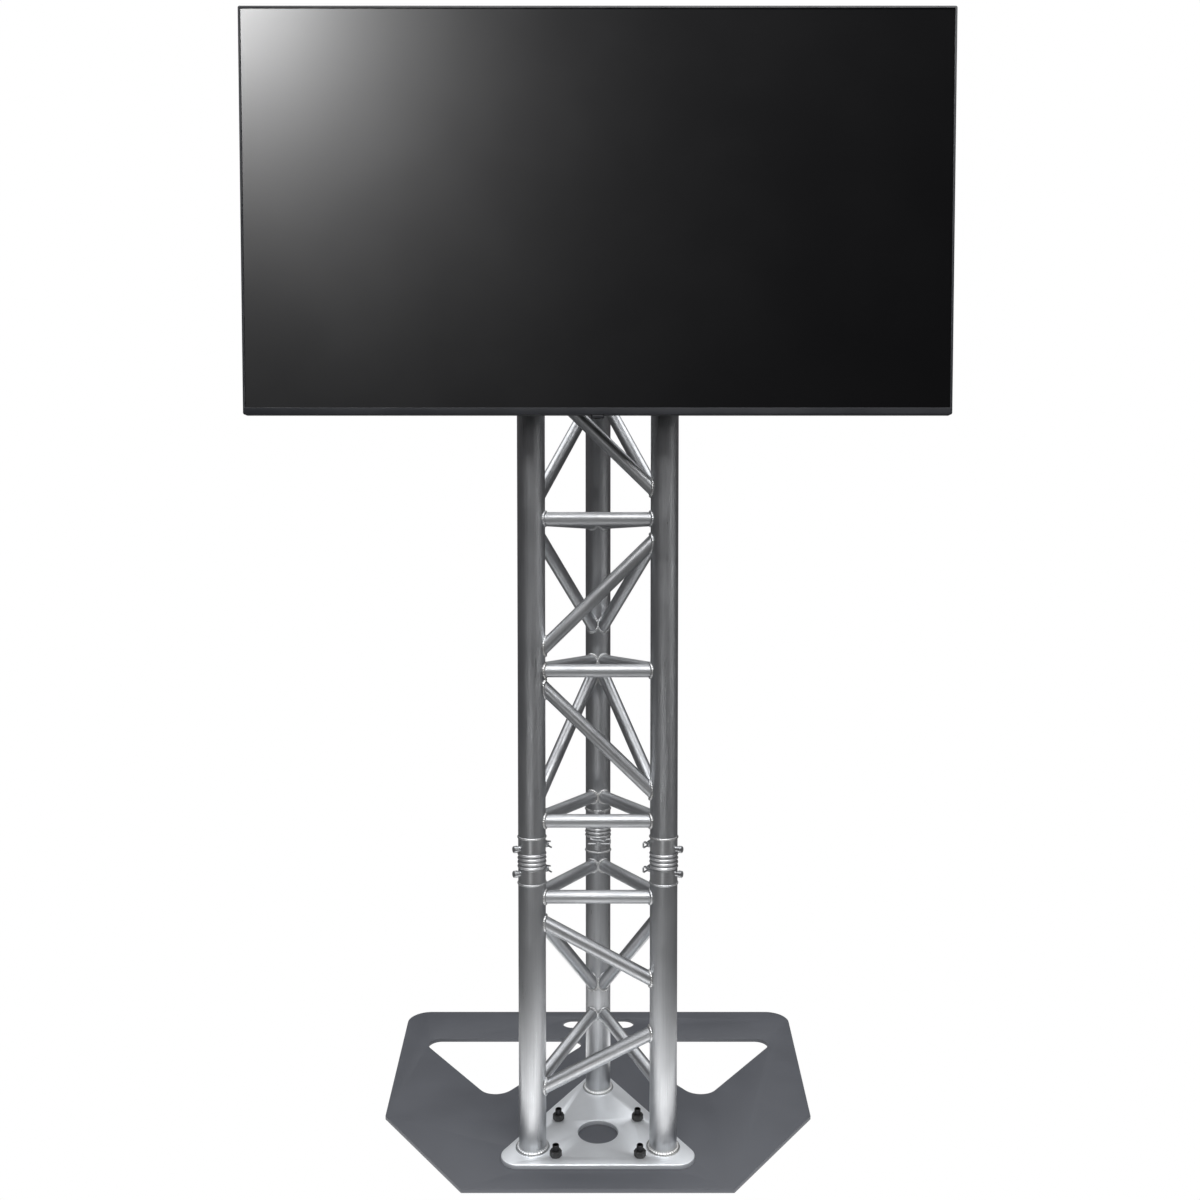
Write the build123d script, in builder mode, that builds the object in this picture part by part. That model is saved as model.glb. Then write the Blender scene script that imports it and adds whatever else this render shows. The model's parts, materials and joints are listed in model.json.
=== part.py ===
"""Triangular truss tower on a steel floor plate, carrying a flat display on a tilting bracket.

Frame: millimetres, +Z up. The origin lies on the floor, on the tower's central axis. The display faces -Y.
Two truss sections stand on each other: a short one welded to its base plate, and a long one pinned on top.
"""

import os
from math import atan, cos, radians, sin, sqrt, tan

from build123d import *

# ---------------------------------------------------------------- driving dimensions
chord_spacing = 239.0  # between the axes of two chords
chord_diameter = 50.0
chord_wall = 3.0
brace_diameter = 24.0
brace_wall = 2.0

floor_plate_thickness = 8.0
floor_front_y = -179.0
floor_front_half_width = 236.0
floor_side_corner = (415.0, 48.0)
floor_back_half_width = 452.0
floor_back_y = 497.0
floor_back_corner_radius = 48.0
window_centre_x = 209.0  # the two triangular windows, mirrored about the middle
window_apex_y = 102.4
window_back_y = 362.0
window_half_width = 197.0
window_apex_radius = 38.0
window_back_radius = 26.0
handle_slot_y = 438.0
handle_slot_length = 166.0
handle_slot_width = 46.0

base_plate_thickness = 8.0
base_front_margin = 55.0  # from the front chords' axes to the front edge
base_slant_margin = 41.0  # from a line through two chords' axes to a slanted edge
base_corner_radius = 32.0
base_hole_y = -21.0
base_hole_radius = 38.0
base_bolt_chord_gap = 43.5  # sideways, from a front chord's axis towards the middle
base_bolt_front_inset = 27.5  # from the base plate's front edge
base_bolt_back_y = 22.0
base_bolt_diameter = 12.0
base_bolt_head_diameter = 24.0
base_bolt_stickout = 10.0
base_nut_flats = 19.0
base_nut_height = 10.8

joint_height = 549.0  # the plane where the two sections meet
upper_section_length = 1500.0
rung_margin = 70.0  # from the joint plane to the first rung of the upper section
top_margin = 65.0  # from the last rung to the top
upper_panels = 5
# The clear gap along a chord between a rung and a diagonal. The diagonals lean one way in even panels,
# counted from the joint, and the other way in odd ones.
front_even_gaps = (7.3, 31.3)  # (below the panel's top rung, above its bottom rung)
front_odd_gaps = (18.3, 18.3)
rear_even_gaps = (4.3, 14.3)
rear_odd_gaps = (6.3, 48.3)
lower_rung_drop = 69.0  # from the joint plane to the lower section's rungs
# Ends of the lower section's diagonals, as shares of the height from the base plate up to the rungs.
short_front_shares = ((0.925, 0.647), (0.218, 0.483))  # (left chord, right chord)
short_rear_shares = ((0.438, 0.946), (0.360, 0.235))  # (back chord, front chord)

receiver_length = 42.0
receiver_tail_length = 24.0
receiver_tail_bore = 12.0
socket_mouth_radius = 17.5
socket_depth = 40.0
socket_taper = 2.5
groove_count = 3  # on each sleeve; the first is shared with the sleeve that it meets
groove_pitch = 7.6
groove_width = 2.8
groove_depth = 1.6
spigot_bore_radius = 7.0
spigot_end_gap = 1.5

pin_diameter = 10.0
pin_offset = 22.5  # each pin's height from the joint plane
pin_head_step = 1.25  # how far the head stands proud of the shank all round
pin_head_length = 7.0
pin_head_reach = 12.0  # from the sleeve's skin outwards to the head's end
pin_tail_reach = 8.0  # from the sleeve's skin inwards to the tail's end
clip_hole_reach = 4.2  # from the sleeve's skin inwards to the clip's hole
clip_wire_diameter = 3.0
clip_leg = 20.0
clip_free_leg = 16.0
clip_eye = 24.0

screen_width = 1180.0
screen_height = 666.0
screen_edge_depth = 14.0
bezel_lip = 3.5
bezel_bottom_lip = 11.5
bezel_lip_thickness = 1.5
bezel_wall = 1.5
bezel_corner_radius = 3.0
panel_thickness = 2.5
light_guide_thickness = 3.0
tray_sheet = 1.2
cover_wall = 2.0
box_half_width = 430.0
box_top = 185.0  # above the display's centre
box_bottom = 270.0  # below it
box_depth = 26.0
box_corner_radius = 24.0

clamp_panels = (3, 4)  # the upper section's panels that carry the bracket's two rails
clamp_gap = 2.1  # between a U-bolt and the diagonal that leaves its chord below
rail_height = 50.0
rail_thickness = 6.0
rail_end_margin = 16.0  # past the outermost U-bolt leg's axis
saddle_height = 36.0
saddle_front = 8.0  # metal in front of the chord
saddle_brace_gap = 1.0  # from the saddle's back to the front of the braces
saddle_ear = 10.0  # past the U-bolt leg's axis
u_bolt_diameter = 8.0
u_bolt_stickout = 4.0
u_bolt_nut_flats = 13.0
u_bolt_nut_height = 6.8
wall_plate_gap = 20.5  # from the plate's side to the nearest U-bolt leg's axis
wall_plate_thickness = 5.0
bracket_bolt_inset = 25.0  # from the plate's side
bracket_bolt_diameter = 8.0
bracket_bolt_head_flats = 13.0
bracket_bolt_head_height = 5.3
tilt_axis_drop = 16.0  # in front of the wall plate
ear_thickness = 4.0
ear_inset = 4.0  # from the wall plate's side
ear_radius = 14.0
ear_root_half_height = 32.0
ear_gap = 1.0
tilt_shaft_diameter = 10.0
tilt_plate_size = 330.0
tilt_plate_thickness = 3.0
tilt_plate_distance = 18.0  # from the tilt axis to the tilt plate's rear face
vesa_spacing = 300.0
vesa_screw_diameter = 6.0
vesa_screw_grip = 18.0
vesa_post_radius = 7.0
knob_radius = 15.0
knob_length = 18.0
knob_lobes = 6
knob_lobe_radius = 4.0
knob_inset = 3.0  # the shaft shows past the knob by this much
inlet_x = -300.0
inlet_width = 28.0
inlet_depth = 20.0
inlet_height = 22.0
inlet_rim = 2.0
inlet_contact_pitch = 7.0
inlet_contact_width = 2.0
inlet_contact_depth = 4.0
board_thickness = 1.6
board_standoff = 8.0
board_foot_inset = 8.0
board_foot_radius = 3.5
component_height = 12.0
# Boards and speakers are placed from the display's centre. A block is (x, z, width, height) on its board.
power_board_centre = (-285.0, -105.0)
power_board_size = (190.0, 150.0)
power_board_blocks = [(-40.0, 30.0, 46.0, 40.0), (35.0, -20.0, 30.0, 60.0)]
main_board_centre = (265.0, -85.0)
main_board_size = (170.0, 130.0)
main_board_blocks = [(0.0, 0.0, 40.0, 40.0), (-60.0, -40.0, 30.0, 14.0)]
speaker_x = 350.0
speaker_drop = 225.0
speaker_width = 90.0
speaker_height = 40.0
speaker_depth = 22.0
sensor_width = 22.0
sensor_depth = 11.0
sensor_height = 5.5
button_width = 9.0
button_depth = 6.0
button_proud = 1.4

# ---------------------------------------------------------------- edges and small details
base_plate_chamfer = 0.8
bolt_tip_chamfer = 1.0
pin_chamfer = 1.0
rail_corner_radius = 5.0
box_edge_chamfer = 6.0
button_edge_radius = 0.6
clip_ride_gap = 0.4
clip_bend_radius = 2.2
clip_eye_height = 9.0
clip_neck = 13.0
clip_neck_height = 4.6
vesa_screw_head_radius = 5.5
vesa_screw_head_height = 3.5
tilt_window_length = 120.0
tilt_window_width = 50.0
window_offset = 95.0

# ---------------------------------------------------------------- fits
running_clearance = 0.05  # radial, between a pin or shaft and its hole
thread_clearance = 0.05  # radial, between a bolt and its nut
bolt_clearance = 0.5  # radial, between a bolt and a plain hole
panel_clearance = 0.5  # around the display's flat layers
socket_clearance = 0.05  # between a spigot's cone and its socket
button_clearance = 0.3
brace_clearance = 0.25  # from a brace to the mid-plane between its face and the next
tray_rim_clearance = 0.2  # between the tray's rim and the light guide's edge

# ---------------------------------------------------------------- worked out from the above
chord_radius = chord_diameter / 2
chord_bore = chord_radius - chord_wall
brace_radius = brace_diameter / 2
chord_ring_radius = chord_spacing / sqrt(3)  # from the tower's axis to a chord's axis
chord_azimuth = {"left": 210.0, "right": 330.0, "back": 90.0}
chord_place = {
    name: Vector(chord_ring_radius * cos(radians(a)), chord_ring_radius * sin(radians(a)))
    for name, a in chord_azimuth.items()
}
base_top = floor_plate_thickness + base_plate_thickness
tower_top = joint_height + upper_section_length
rung_pitch = (upper_section_length - rung_margin - top_margin) / upper_panels
first_rung = joint_height + rung_margin
rung_heights = [first_rung + rung_pitch * level for level in range(upper_panels + 1)]
diagonal_lean = atan(rung_pitch / chord_spacing)


def foot(gap):
    """How far a diagonal's axis is from a rung's, along the chord, for a clear gap between the two tubes."""
    return gap + brace_radius * (1 + 1 / cos(diagonal_lean)) - chord_radius * tan(diagonal_lean)


lower_rung_height = joint_height - lower_rung_drop
lower_brace_height = lower_rung_height - base_top
base_front_y = chord_place["left"].Y - base_front_margin
base_slant_distance = chord_ring_radius / 2 + base_slant_margin  # from the tower's axis to each slanted edge
base_corner_x = (base_slant_distance - base_front_y / 2) / cos(radians(30))
base_apex_y = 2 * base_slant_distance
base_bolt_x = chord_spacing / 2 - base_bolt_chord_gap
base_bolt_front_y = base_front_y + base_bolt_front_inset
base_bolt_places = [
    (x, y)
    for x in (-base_bolt_x, base_bolt_x)
    for y in (base_bolt_front_y, base_bolt_back_y)
]
bolt_head_height = (base_bolt_head_diameter - base_bolt_diameter) / 2  # a right-angled countersink
spigot_half_length = socket_depth - spigot_end_gap
socket_end_radius = socket_mouth_radius - socket_taper
spigot_end_radius = socket_mouth_radius - socket_clearance - socket_taper * spigot_half_length / socket_depth
faces = {"front": ("left", "right"), "left": ("back", "left"), "right": ("back", "right")}
front_chord_x = (chord_place["left"].X, chord_place["right"].X)
front_chord_y = chord_place["left"].Y
chord_front_y = front_chord_y - chord_radius
saddle_front_y = chord_front_y - saddle_front
saddle_back_y = front_chord_y - brace_radius - saddle_brace_gap
u_bolt_leg_offset = chord_radius + u_bolt_diameter / 2 + thread_clearance
lowest_clamp_rise = (
    foot(max(front_even_gaps[1], front_odd_gaps[1]))
    + (u_bolt_leg_offset + u_bolt_diameter / 2) * tan(diagonal_lean)
    + brace_radius / cos(diagonal_lean)
)
rail_heights = [rung_heights[panel] + lowest_clamp_rise + clamp_gap for panel in clamp_panels]
screen_centre_z = sum(rail_heights) / len(rail_heights)
u_bolt_leg_places = [
    (x + side * u_bolt_leg_offset, z) for x in front_chord_x for z in rail_heights for side in (-1, 1)
]
saddle_half_width = u_bolt_leg_offset + saddle_ear
rail_half_length = chord_spacing / 2 + u_bolt_leg_offset + rail_end_margin
rail_front_y = saddle_front_y - rail_thickness
u_bolt_tip_y = rail_front_y - u_bolt_nut_height - u_bolt_stickout
wall_plate_half_width = chord_spacing / 2 - u_bolt_leg_offset - wall_plate_gap
wall_plate_height = rail_heights[-1] - rail_heights[0] + rail_height
wall_plate_front_y = rail_front_y - wall_plate_thickness
bracket_bolt_x = wall_plate_half_width - bracket_bolt_inset
bracket_bolt_places = [(x, z) for z in rail_heights for x in (-bracket_bolt_x, bracket_bolt_x)]
ear_outer_x = wall_plate_half_width - ear_inset
inner_ear_outer_x = ear_outer_x - ear_thickness - ear_gap
tilt_axis_y = wall_plate_front_y - tilt_axis_drop
tilt_plate_back_y = tilt_axis_y - tilt_plate_distance
display_back_y = tilt_plate_back_y - tilt_plate_thickness
vesa_places = [
    (x * vesa_spacing / 2, screen_centre_z + z * vesa_spacing / 2) for x in (-1, 1) for z in (-1, 1)
]
box_height = box_top + box_bottom
box_centre_z = screen_centre_z + (box_top - box_bottom) / 2
box_bottom_z = screen_centre_z - box_bottom
box_inset = cover_wall + box_edge_chamfer
cover_front_y = display_back_y - box_depth - cover_wall
screen_front_y = cover_front_y + cover_wall - screen_edge_depth
screen_bottom_z = screen_centre_z - screen_height / 2
inner_width = screen_width - 2 * bezel_wall
inner_height = screen_height - 2 * bezel_wall
view_width = screen_width - 2 * bezel_lip
view_height = screen_height - bezel_lip - bezel_bottom_lip
panel_front_y = screen_front_y + bezel_lip_thickness
tray_rim_y = panel_front_y + panel_thickness
tray_front_y = tray_rim_y + light_guide_thickness
tray_back_y = tray_front_y + tray_sheet
board_front_y = tray_back_y + board_standoff
inlet_y = cover_front_y + cover_wall + (box_depth - cover_wall) / 2
button_y = panel_front_y + (cover_front_y - panel_front_y) / 2
button_hole_width = button_width + 2 * button_clearance
button_hole_depth = button_depth + 2 * button_clearance
pin_head_diameter = pin_diameter + 2 * pin_head_step
pin_head_end = chord_radius + pin_head_reach
pin_tail_end = chord_radius + pin_tail_reach
clip_hole_distance = chord_radius + clip_hole_reach

os.makedirs("parts", exist_ok=True)


def save(part, name):
    """Label a finished piece and write it as one STEP file."""
    part.label = name
    export_step(part, f"parts/{name}.step")


def radial_plane(chord, height, distance=0.0):
    """A plane square to a chord's radius, distance outwards from its axis, with local x level."""
    azimuth = radians(chord_azimuth[chord])
    outwards = Vector(cos(azimuth), sin(azimuth), 0)
    sideways = Vector(-sin(azimuth), cos(azimuth), 0)
    origin = chord_place[chord] + outwards * distance + Vector(0, 0, height)
    return Plane(origin=origin, x_dir=sideways, z_dir=outwards)


def hexagon(flats):
    """A hexagon across flats, drawn in the current sketch."""
    RegularPolygon(radius=flats / 2, side_count=6, major_radius=False)


# ================================================================ floor plate and base
with BuildPart() as floor_plate:
    with BuildSketch() as outline:
        with BuildLine():
            Polyline(
                (-floor_front_half_width, floor_front_y),
                (floor_front_half_width, floor_front_y),
                floor_side_corner,
                (floor_back_half_width, floor_back_y),
                (-floor_back_half_width, floor_back_y),
                (-floor_side_corner[0], floor_side_corner[1]),
                close=True,
            )
        make_face()
        fillet(outline.vertices().group_by(Axis.Y)[-1], floor_back_corner_radius)
        with Locations((0, handle_slot_y)):
            SlotOverall(handle_slot_length, handle_slot_width, mode=Mode.SUBTRACT)
    extrude(amount=floor_plate_thickness)
    for side in (-1, 1):
        with BuildSketch() as window:
            with BuildLine():
                Polyline(
                    (side * window_centre_x, window_apex_y),
                    (side * (window_centre_x + window_half_width), window_back_y),
                    (side * (window_centre_x - window_half_width), window_back_y),
                    close=True,
                )
            make_face()
            fillet(window.vertices().group_by(Axis.Y)[0], window_apex_radius)
            fillet(window.vertices().group_by(Axis.Y)[-1], window_back_radius)
        extrude(amount=floor_plate_thickness, mode=Mode.SUBTRACT)
    with BuildSketch(Plane.XY.offset(floor_plate_thickness)):
        with Locations(*base_bolt_places):
            Circle(base_bolt_diameter / 2 + bolt_clearance)
    extrude(amount=-floor_plate_thickness, mode=Mode.SUBTRACT)
    with Locations(*[(x, y, bolt_head_height / 2) for x, y in base_bolt_places]):
        Cone(
            base_bolt_head_diameter / 2 + bolt_clearance,
            base_bolt_diameter / 2 + bolt_clearance,
            bolt_head_height,
            mode=Mode.SUBTRACT,
        )
save(floor_plate.part, "floor_plate")

with BuildPart() as base_plate:
    with BuildSketch(Plane.XY.offset(floor_plate_thickness)) as outline:
        with BuildLine():
            Polyline(
                (-base_corner_x, base_front_y),
                (base_corner_x, base_front_y),
                (0, base_apex_y),
                close=True,
            )
        make_face()
        fillet(outline.vertices(), base_corner_radius)
        with Locations((0, base_hole_y)):
            Circle(base_hole_radius, mode=Mode.SUBTRACT)
        with Locations(*base_bolt_places):
            Circle(base_bolt_diameter / 2 + bolt_clearance, mode=Mode.SUBTRACT)
    extrude(amount=base_plate_thickness)
    chamfer(base_plate.faces().sort_by(Axis.Z)[-1].outer_wire().edges(), base_plate_chamfer)
save(base_plate.part, "base_plate")

with BuildPart() as base_bolts:
    with BuildSketch():
        with Locations(*base_bolt_places):
            Circle(base_bolt_diameter / 2)
    extrude(amount=base_top + base_nut_height + base_bolt_stickout)
    chamfer(base_bolts.edges().group_by(Axis.Z)[-1], bolt_tip_chamfer)
    with Locations(*[(x, y, bolt_head_height / 2) for x, y in base_bolt_places]):
        Cone(base_bolt_head_diameter / 2, base_bolt_diameter / 2, bolt_head_height)
save(base_bolts.part, "base_bolts")

with BuildPart() as base_nuts:
    with BuildSketch(Plane.XY.offset(base_top)):
        with Locations(*base_bolt_places):
            hexagon(base_nut_flats)
    extrude(amount=base_nut_height)
    with BuildSketch(Plane.XY.offset(base_top)):
        with Locations(*base_bolt_places):
            Circle(base_bolt_diameter / 2 + thread_clearance)
    extrude(amount=base_nut_height, mode=Mode.SUBTRACT)
save(base_nuts.part, "base_nuts")


# ================================================================ chords, couplers, pins
def chord_tube(name, chord, bottom, top):
    """A straight chord tube, open at both ends."""
    with BuildPart() as tube:
        with BuildSketch(Plane.XY.offset(bottom)):
            with Locations(chord_place[chord]):
                Circle(chord_radius)
                Circle(chord_bore, mode=Mode.SUBTRACT)
        extrude(amount=top - bottom)
    save(tube.part, name)


def receivers(name, mouth, into):
    """Three coupler sleeves whose mouths are at one height and whose tails point up (+1) or down (-1)."""
    tail_end = mouth + into * (receiver_length + receiver_tail_length)
    with BuildPart() as sleeves:
        for chord, place in chord_place.items():
            with BuildSketch(Plane.XZ.offset(-place.Y)):
                with BuildLine():
                    Polyline(
                        (place.X + socket_mouth_radius, mouth),
                        (place.X + chord_radius, mouth),
                        (place.X + chord_radius, mouth + into * receiver_length),
                        (place.X + chord_bore, mouth + into * receiver_length),
                        (place.X + chord_bore, tail_end),
                        (place.X + receiver_tail_bore, tail_end),
                        (place.X + receiver_tail_bore, mouth + into * socket_depth),
                        (place.X + socket_end_radius, mouth + into * socket_depth),
                        close=True,
                    )
                make_face()
            revolve(axis=Axis((place.X, place.Y, 0), (0, 0, 1)))
            for groove in range(groove_count):
                groove_height = mouth + into * groove * groove_pitch
                with BuildSketch(Plane.XY.offset(groove_height - groove_width / 2)):
                    with Locations(place):
                        Circle(chord_radius + groove_depth)
                        Circle(chord_radius - groove_depth, mode=Mode.SUBTRACT)
                extrude(amount=groove_width, mode=Mode.SUBTRACT)
            with BuildSketch(radial_plane(chord, mouth + into * pin_offset)):
                Circle(pin_diameter / 2 + running_clearance)
            extrude(amount=chord_diameter, both=True, mode=Mode.SUBTRACT)
    save(sleeves.part, name)


receivers("lower_receivers", joint_height, -1)
receivers("upper_receivers", joint_height, 1)
receivers("top_receivers", tower_top, -1)

with BuildPart() as spigots:
    for chord, place in chord_place.items():
        with BuildSketch(Plane.XZ.offset(-place.Y)):
            with BuildLine():
                Polyline(
                    (place.X + spigot_bore_radius, joint_height - spigot_half_length),
                    (place.X + spigot_end_radius, joint_height - spigot_half_length),
                    (place.X + socket_mouth_radius - socket_clearance, joint_height),
                    (place.X + spigot_end_radius, joint_height + spigot_half_length),
                    (place.X + spigot_bore_radius, joint_height + spigot_half_length),
                    close=True,
                )
            make_face()
        revolve(axis=Axis((place.X, place.Y, 0), (0, 0, 1)))
        for level in (-pin_offset, pin_offset):
            with BuildSketch(radial_plane(chord, joint_height + level)):
                Circle(pin_diameter / 2 + running_clearance)
            extrude(amount=chord_diameter, both=True, mode=Mode.SUBTRACT)
save(spigots.part, "spigots")

for chord in chord_place:
    chord_tube(f"lower_chord_{chord}", chord, base_top, joint_height - receiver_length)
    chord_tube(f"upper_chord_{chord}", chord, joint_height + receiver_length, tower_top - receiver_length)


def coupler_pin(name, chord, height):
    """A cross pin: plain shank, headed outside the tower, cross-drilled inside for its clip."""
    outwards = Axis(chord_place[chord], radial_plane(chord, 0).z_dir)
    with BuildPart() as pin:
        with BuildSketch(radial_plane(chord, height, -pin_tail_end)):
            Circle(pin_diameter / 2)
        extrude(amount=pin_tail_end + pin_head_end - pin_head_length / 2)
        chamfer(pin.faces().sort_by(outwards)[0].edges(), pin_chamfer)
        with BuildSketch(radial_plane(chord, height, pin_head_end - pin_head_length)):
            Circle(pin_head_diameter / 2)
        extrude(amount=pin_head_length)
        chamfer(pin.faces().sort_by(outwards)[-1].edges(), pin_chamfer)
        across = radial_plane(chord, height, -clip_hole_distance)
        with BuildSketch(Plane(origin=across.origin, z_dir=across.x_dir)):
            Circle(clip_wire_diameter / 2 + running_clearance)
        extrude(amount=pin_diameter, both=True, mode=Mode.SUBTRACT)
    save(pin.part, name)


def hairpin_clip(name, chord, height):
    """A spring-wire clip: a straight leg through the pin, an eye, and a leg that rides over the pin."""
    over_pin = pin_diameter / 2 + clip_wire_diameter / 2 + clip_ride_gap
    across = radial_plane(chord, height, -clip_hole_distance)
    with BuildPart() as clip:
        with BuildLine(across) as wire:
            FilletPolyline(
                (clip_leg, 0),
                (-clip_eye, 0),
                (-clip_eye, clip_eye_height),
                (-clip_neck - clip_wire_diameter, clip_eye_height),
                (-clip_neck, clip_neck_height),
                (-over_pin, over_pin),
                (over_pin / 2, over_pin),
                (clip_free_leg, over_pin + clip_wire_diameter),
                radius=clip_bend_radius,
            )
        with BuildSketch(Plane(origin=wire.line @ 0, z_dir=wire.line % 0)):
            Circle(clip_wire_diameter / 2)
        sweep(path=wire.line)
    save(clip.part, name)


for level, offset_from_joint in (("lower", -pin_offset), ("upper", pin_offset)):
    for chord in chord_place:
        coupler_pin(f"{level}_pin_{chord}", chord, joint_height + offset_from_joint)
        hairpin_clip(f"{level}_clip_{chord}", chord, joint_height + offset_from_joint)


# ================================================================ braces
def brace_tube(run):
    """One brace between two chords, coped to both and kept to its own third of the tower.

    A run is two ends, each a chord and the height where the brace's axis meets the chord's axis.
    """
    (chord_a, height_a), (chord_b, height_b) = run
    start = chord_place[chord_a] + Vector(0, 0, height_a)
    finish = chord_place[chord_b] + Vector(0, 0, height_b)
    outwards = (chord_place[chord_a] + chord_place[chord_b]).normalized()
    apex = outwards * (brace_clearance / sin(radians(60)))
    with BuildPart() as tube:
        with BuildSketch(Plane(origin=start, z_dir=finish - start)):
            Circle(brace_radius)
            Circle(brace_radius - brace_wall, mode=Mode.SUBTRACT)
        extrude(amount=(finish - start).length)
        with BuildSketch():
            with Locations(chord_place[chord_a], chord_place[chord_b]):
                Circle(chord_radius)
        extrude(amount=tower_top, mode=Mode.SUBTRACT)
        with BuildSketch():
            with BuildLine():
                Polyline(apex, apex + 2 * chord_place[chord_a], apex + 2 * chord_place[chord_b], close=True)
            make_face()
        extrude(amount=tower_top, mode=Mode.INTERSECT)
    return tube.part


def braces(name, runs):
    """Several braces, saved as one node."""
    tubes = [brace_tube(run) for run in runs]
    with BuildPart() as node:
        add(tubes)
    save(node.part, name)


def long_diagonals(face):
    """The upper section's diagonals in one face: they fall away from the first chord in even panels."""
    first, second = faces[face]
    gaps = (front_even_gaps, front_odd_gaps) if face == "front" else (rear_even_gaps, rear_odd_gaps)
    runs = []
    for panel in range(upper_panels):
        top_gap, bottom_gap = gaps[panel % 2]
        low = rung_heights[panel] + foot(bottom_gap)
        high = rung_heights[panel + 1] - foot(top_gap)
        ends = (low, high) if panel % 2 else (high, low)
        runs.append(((first, ends[0]), (second, ends[1])))
    return runs


def short_diagonals(first, second, shares):
    """The lower section's diagonals in one face."""
    return [
        ((first, base_top + share_a * lower_brace_height), (second, base_top + share_b * lower_brace_height))
        for share_a, share_b in shares
    ]


for face, (first, second) in faces.items():
    braces(f"upper_{face}_rungs", [((first, z), (second, z)) for z in rung_heights])
    braces(f"upper_{face}_diagonals", long_diagonals(face))
braces("lower_rungs", [((a, lower_rung_height), (b, lower_rung_height)) for a, b in faces.values()])
braces("lower_front_diagonals", short_diagonals("left", "right", short_front_shares))
for chord in ("left", "right"):
    braces(f"lower_{chord}_diagonals", short_diagonals("back", chord, short_rear_shares))


# ================================================================ display bracket
with BuildPart() as clamp_saddles:
    for x in front_chord_x:
        for z in rail_heights:
            with BuildSketch(Plane.XY.offset(z - saddle_height / 2)):
                with BuildLine():
                    Polyline(
                        (x - saddle_half_width, saddle_front_y),
                        (x + saddle_half_width, saddle_front_y),
                        (x + saddle_half_width, saddle_back_y),
                        (x - saddle_half_width, saddle_back_y),
                        close=True,
                    )
                make_face()
                with Locations((x, front_chord_y)):
                    Circle(chord_radius, mode=Mode.SUBTRACT)
            extrude(amount=saddle_height)
    with BuildSketch(Plane.XZ.offset(-saddle_back_y)):
        with Locations(*u_bolt_leg_places):
            Circle(u_bolt_diameter / 2 + bolt_clearance)
    extrude(amount=saddle_back_y - saddle_front_y, mode=Mode.SUBTRACT)
save(clamp_saddles.part, "clamp_saddles")

with BuildPart() as u_bolts:
    for x in front_chord_x:
        for z in rail_heights:
            with BuildLine(Plane.XY.offset(z)) as bend:
                near_x, far_x = x - u_bolt_leg_offset, x + u_bolt_leg_offset
                to_bend = Line((near_x, u_bolt_tip_y), (near_x, front_chord_y))
                around = TangentArc(to_bend @ 1, (far_x, front_chord_y), tangent=to_bend % 1)
                Line(around @ 1, (far_x, u_bolt_tip_y))
            with BuildSketch(Plane(origin=bend.line @ 0, z_dir=(0, 1, 0))):
                Circle(u_bolt_diameter / 2)
            sweep(path=bend.line)
save(u_bolts.part, "u_bolts")

with BuildPart() as u_bolt_nuts:
    with BuildSketch(Plane.XZ.offset(-rail_front_y)):
        with Locations(*u_bolt_leg_places):
            hexagon(u_bolt_nut_flats)
    extrude(amount=u_bolt_nut_height)
    with BuildSketch(Plane.XZ.offset(-rail_front_y)):
        with Locations(*u_bolt_leg_places):
            Circle(u_bolt_diameter / 2 + thread_clearance)
    extrude(amount=u_bolt_nut_height, mode=Mode.SUBTRACT)
save(u_bolt_nuts.part, "u_bolt_nuts")

with BuildPart() as bracket_rails:
    with BuildSketch(Plane.XZ.offset(-saddle_front_y)):
        with Locations(*[(0, z) for z in rail_heights]):
            RectangleRounded(2 * rail_half_length, rail_height, rail_corner_radius)
        with Locations(*u_bolt_leg_places):
            Circle(u_bolt_diameter / 2 + bolt_clearance, mode=Mode.SUBTRACT)
        with Locations(*bracket_bolt_places):
            Circle(bracket_bolt_diameter / 2 + thread_clearance, mode=Mode.SUBTRACT)
    extrude(amount=rail_thickness)
save(bracket_rails.part, "bracket_rails")

with BuildPart() as wall_plate:
    with BuildSketch(Plane.XZ.offset(-rail_front_y)):
        with Locations((0, screen_centre_z)):
            RectangleRounded(2 * wall_plate_half_width, wall_plate_height, rail_corner_radius)
        with Locations(*bracket_bolt_places):
            Circle(bracket_bolt_diameter / 2 + bolt_clearance, mode=Mode.SUBTRACT)
    extrude(amount=wall_plate_thickness)
    for side in (-1, 1):
        ear_middle = side * (ear_outer_x - ear_thickness / 2)
        with BuildSketch(Plane.YZ.offset(ear_middle)):
            with BuildLine():
                Polyline(
                    (wall_plate_front_y, screen_centre_z - ear_root_half_height),
                    (tilt_axis_y, screen_centre_z - ear_radius),
                    (tilt_axis_y, screen_centre_z + ear_radius),
                    (wall_plate_front_y, screen_centre_z + ear_root_half_height),
                    close=True,
                )
            make_face()
            with Locations((tilt_axis_y, screen_centre_z)):
                Circle(ear_radius)
                Circle(tilt_shaft_diameter / 2 + running_clearance, mode=Mode.SUBTRACT)
        extrude(amount=ear_thickness / 2, both=True)
save(wall_plate.part, "wall_plate")

with BuildPart() as bracket_bolts:
    with BuildSketch(Plane.XZ.offset(-wall_plate_front_y)):
        with Locations(*bracket_bolt_places):
            hexagon(bracket_bolt_head_flats)
    extrude(amount=bracket_bolt_head_height)
    with BuildSketch(Plane.XZ.offset(-wall_plate_front_y)):
        with Locations(*bracket_bolt_places):
            Circle(bracket_bolt_diameter / 2)
    extrude(amount=-(wall_plate_thickness + rail_thickness))
save(bracket_bolts.part, "bracket_bolts")

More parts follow.
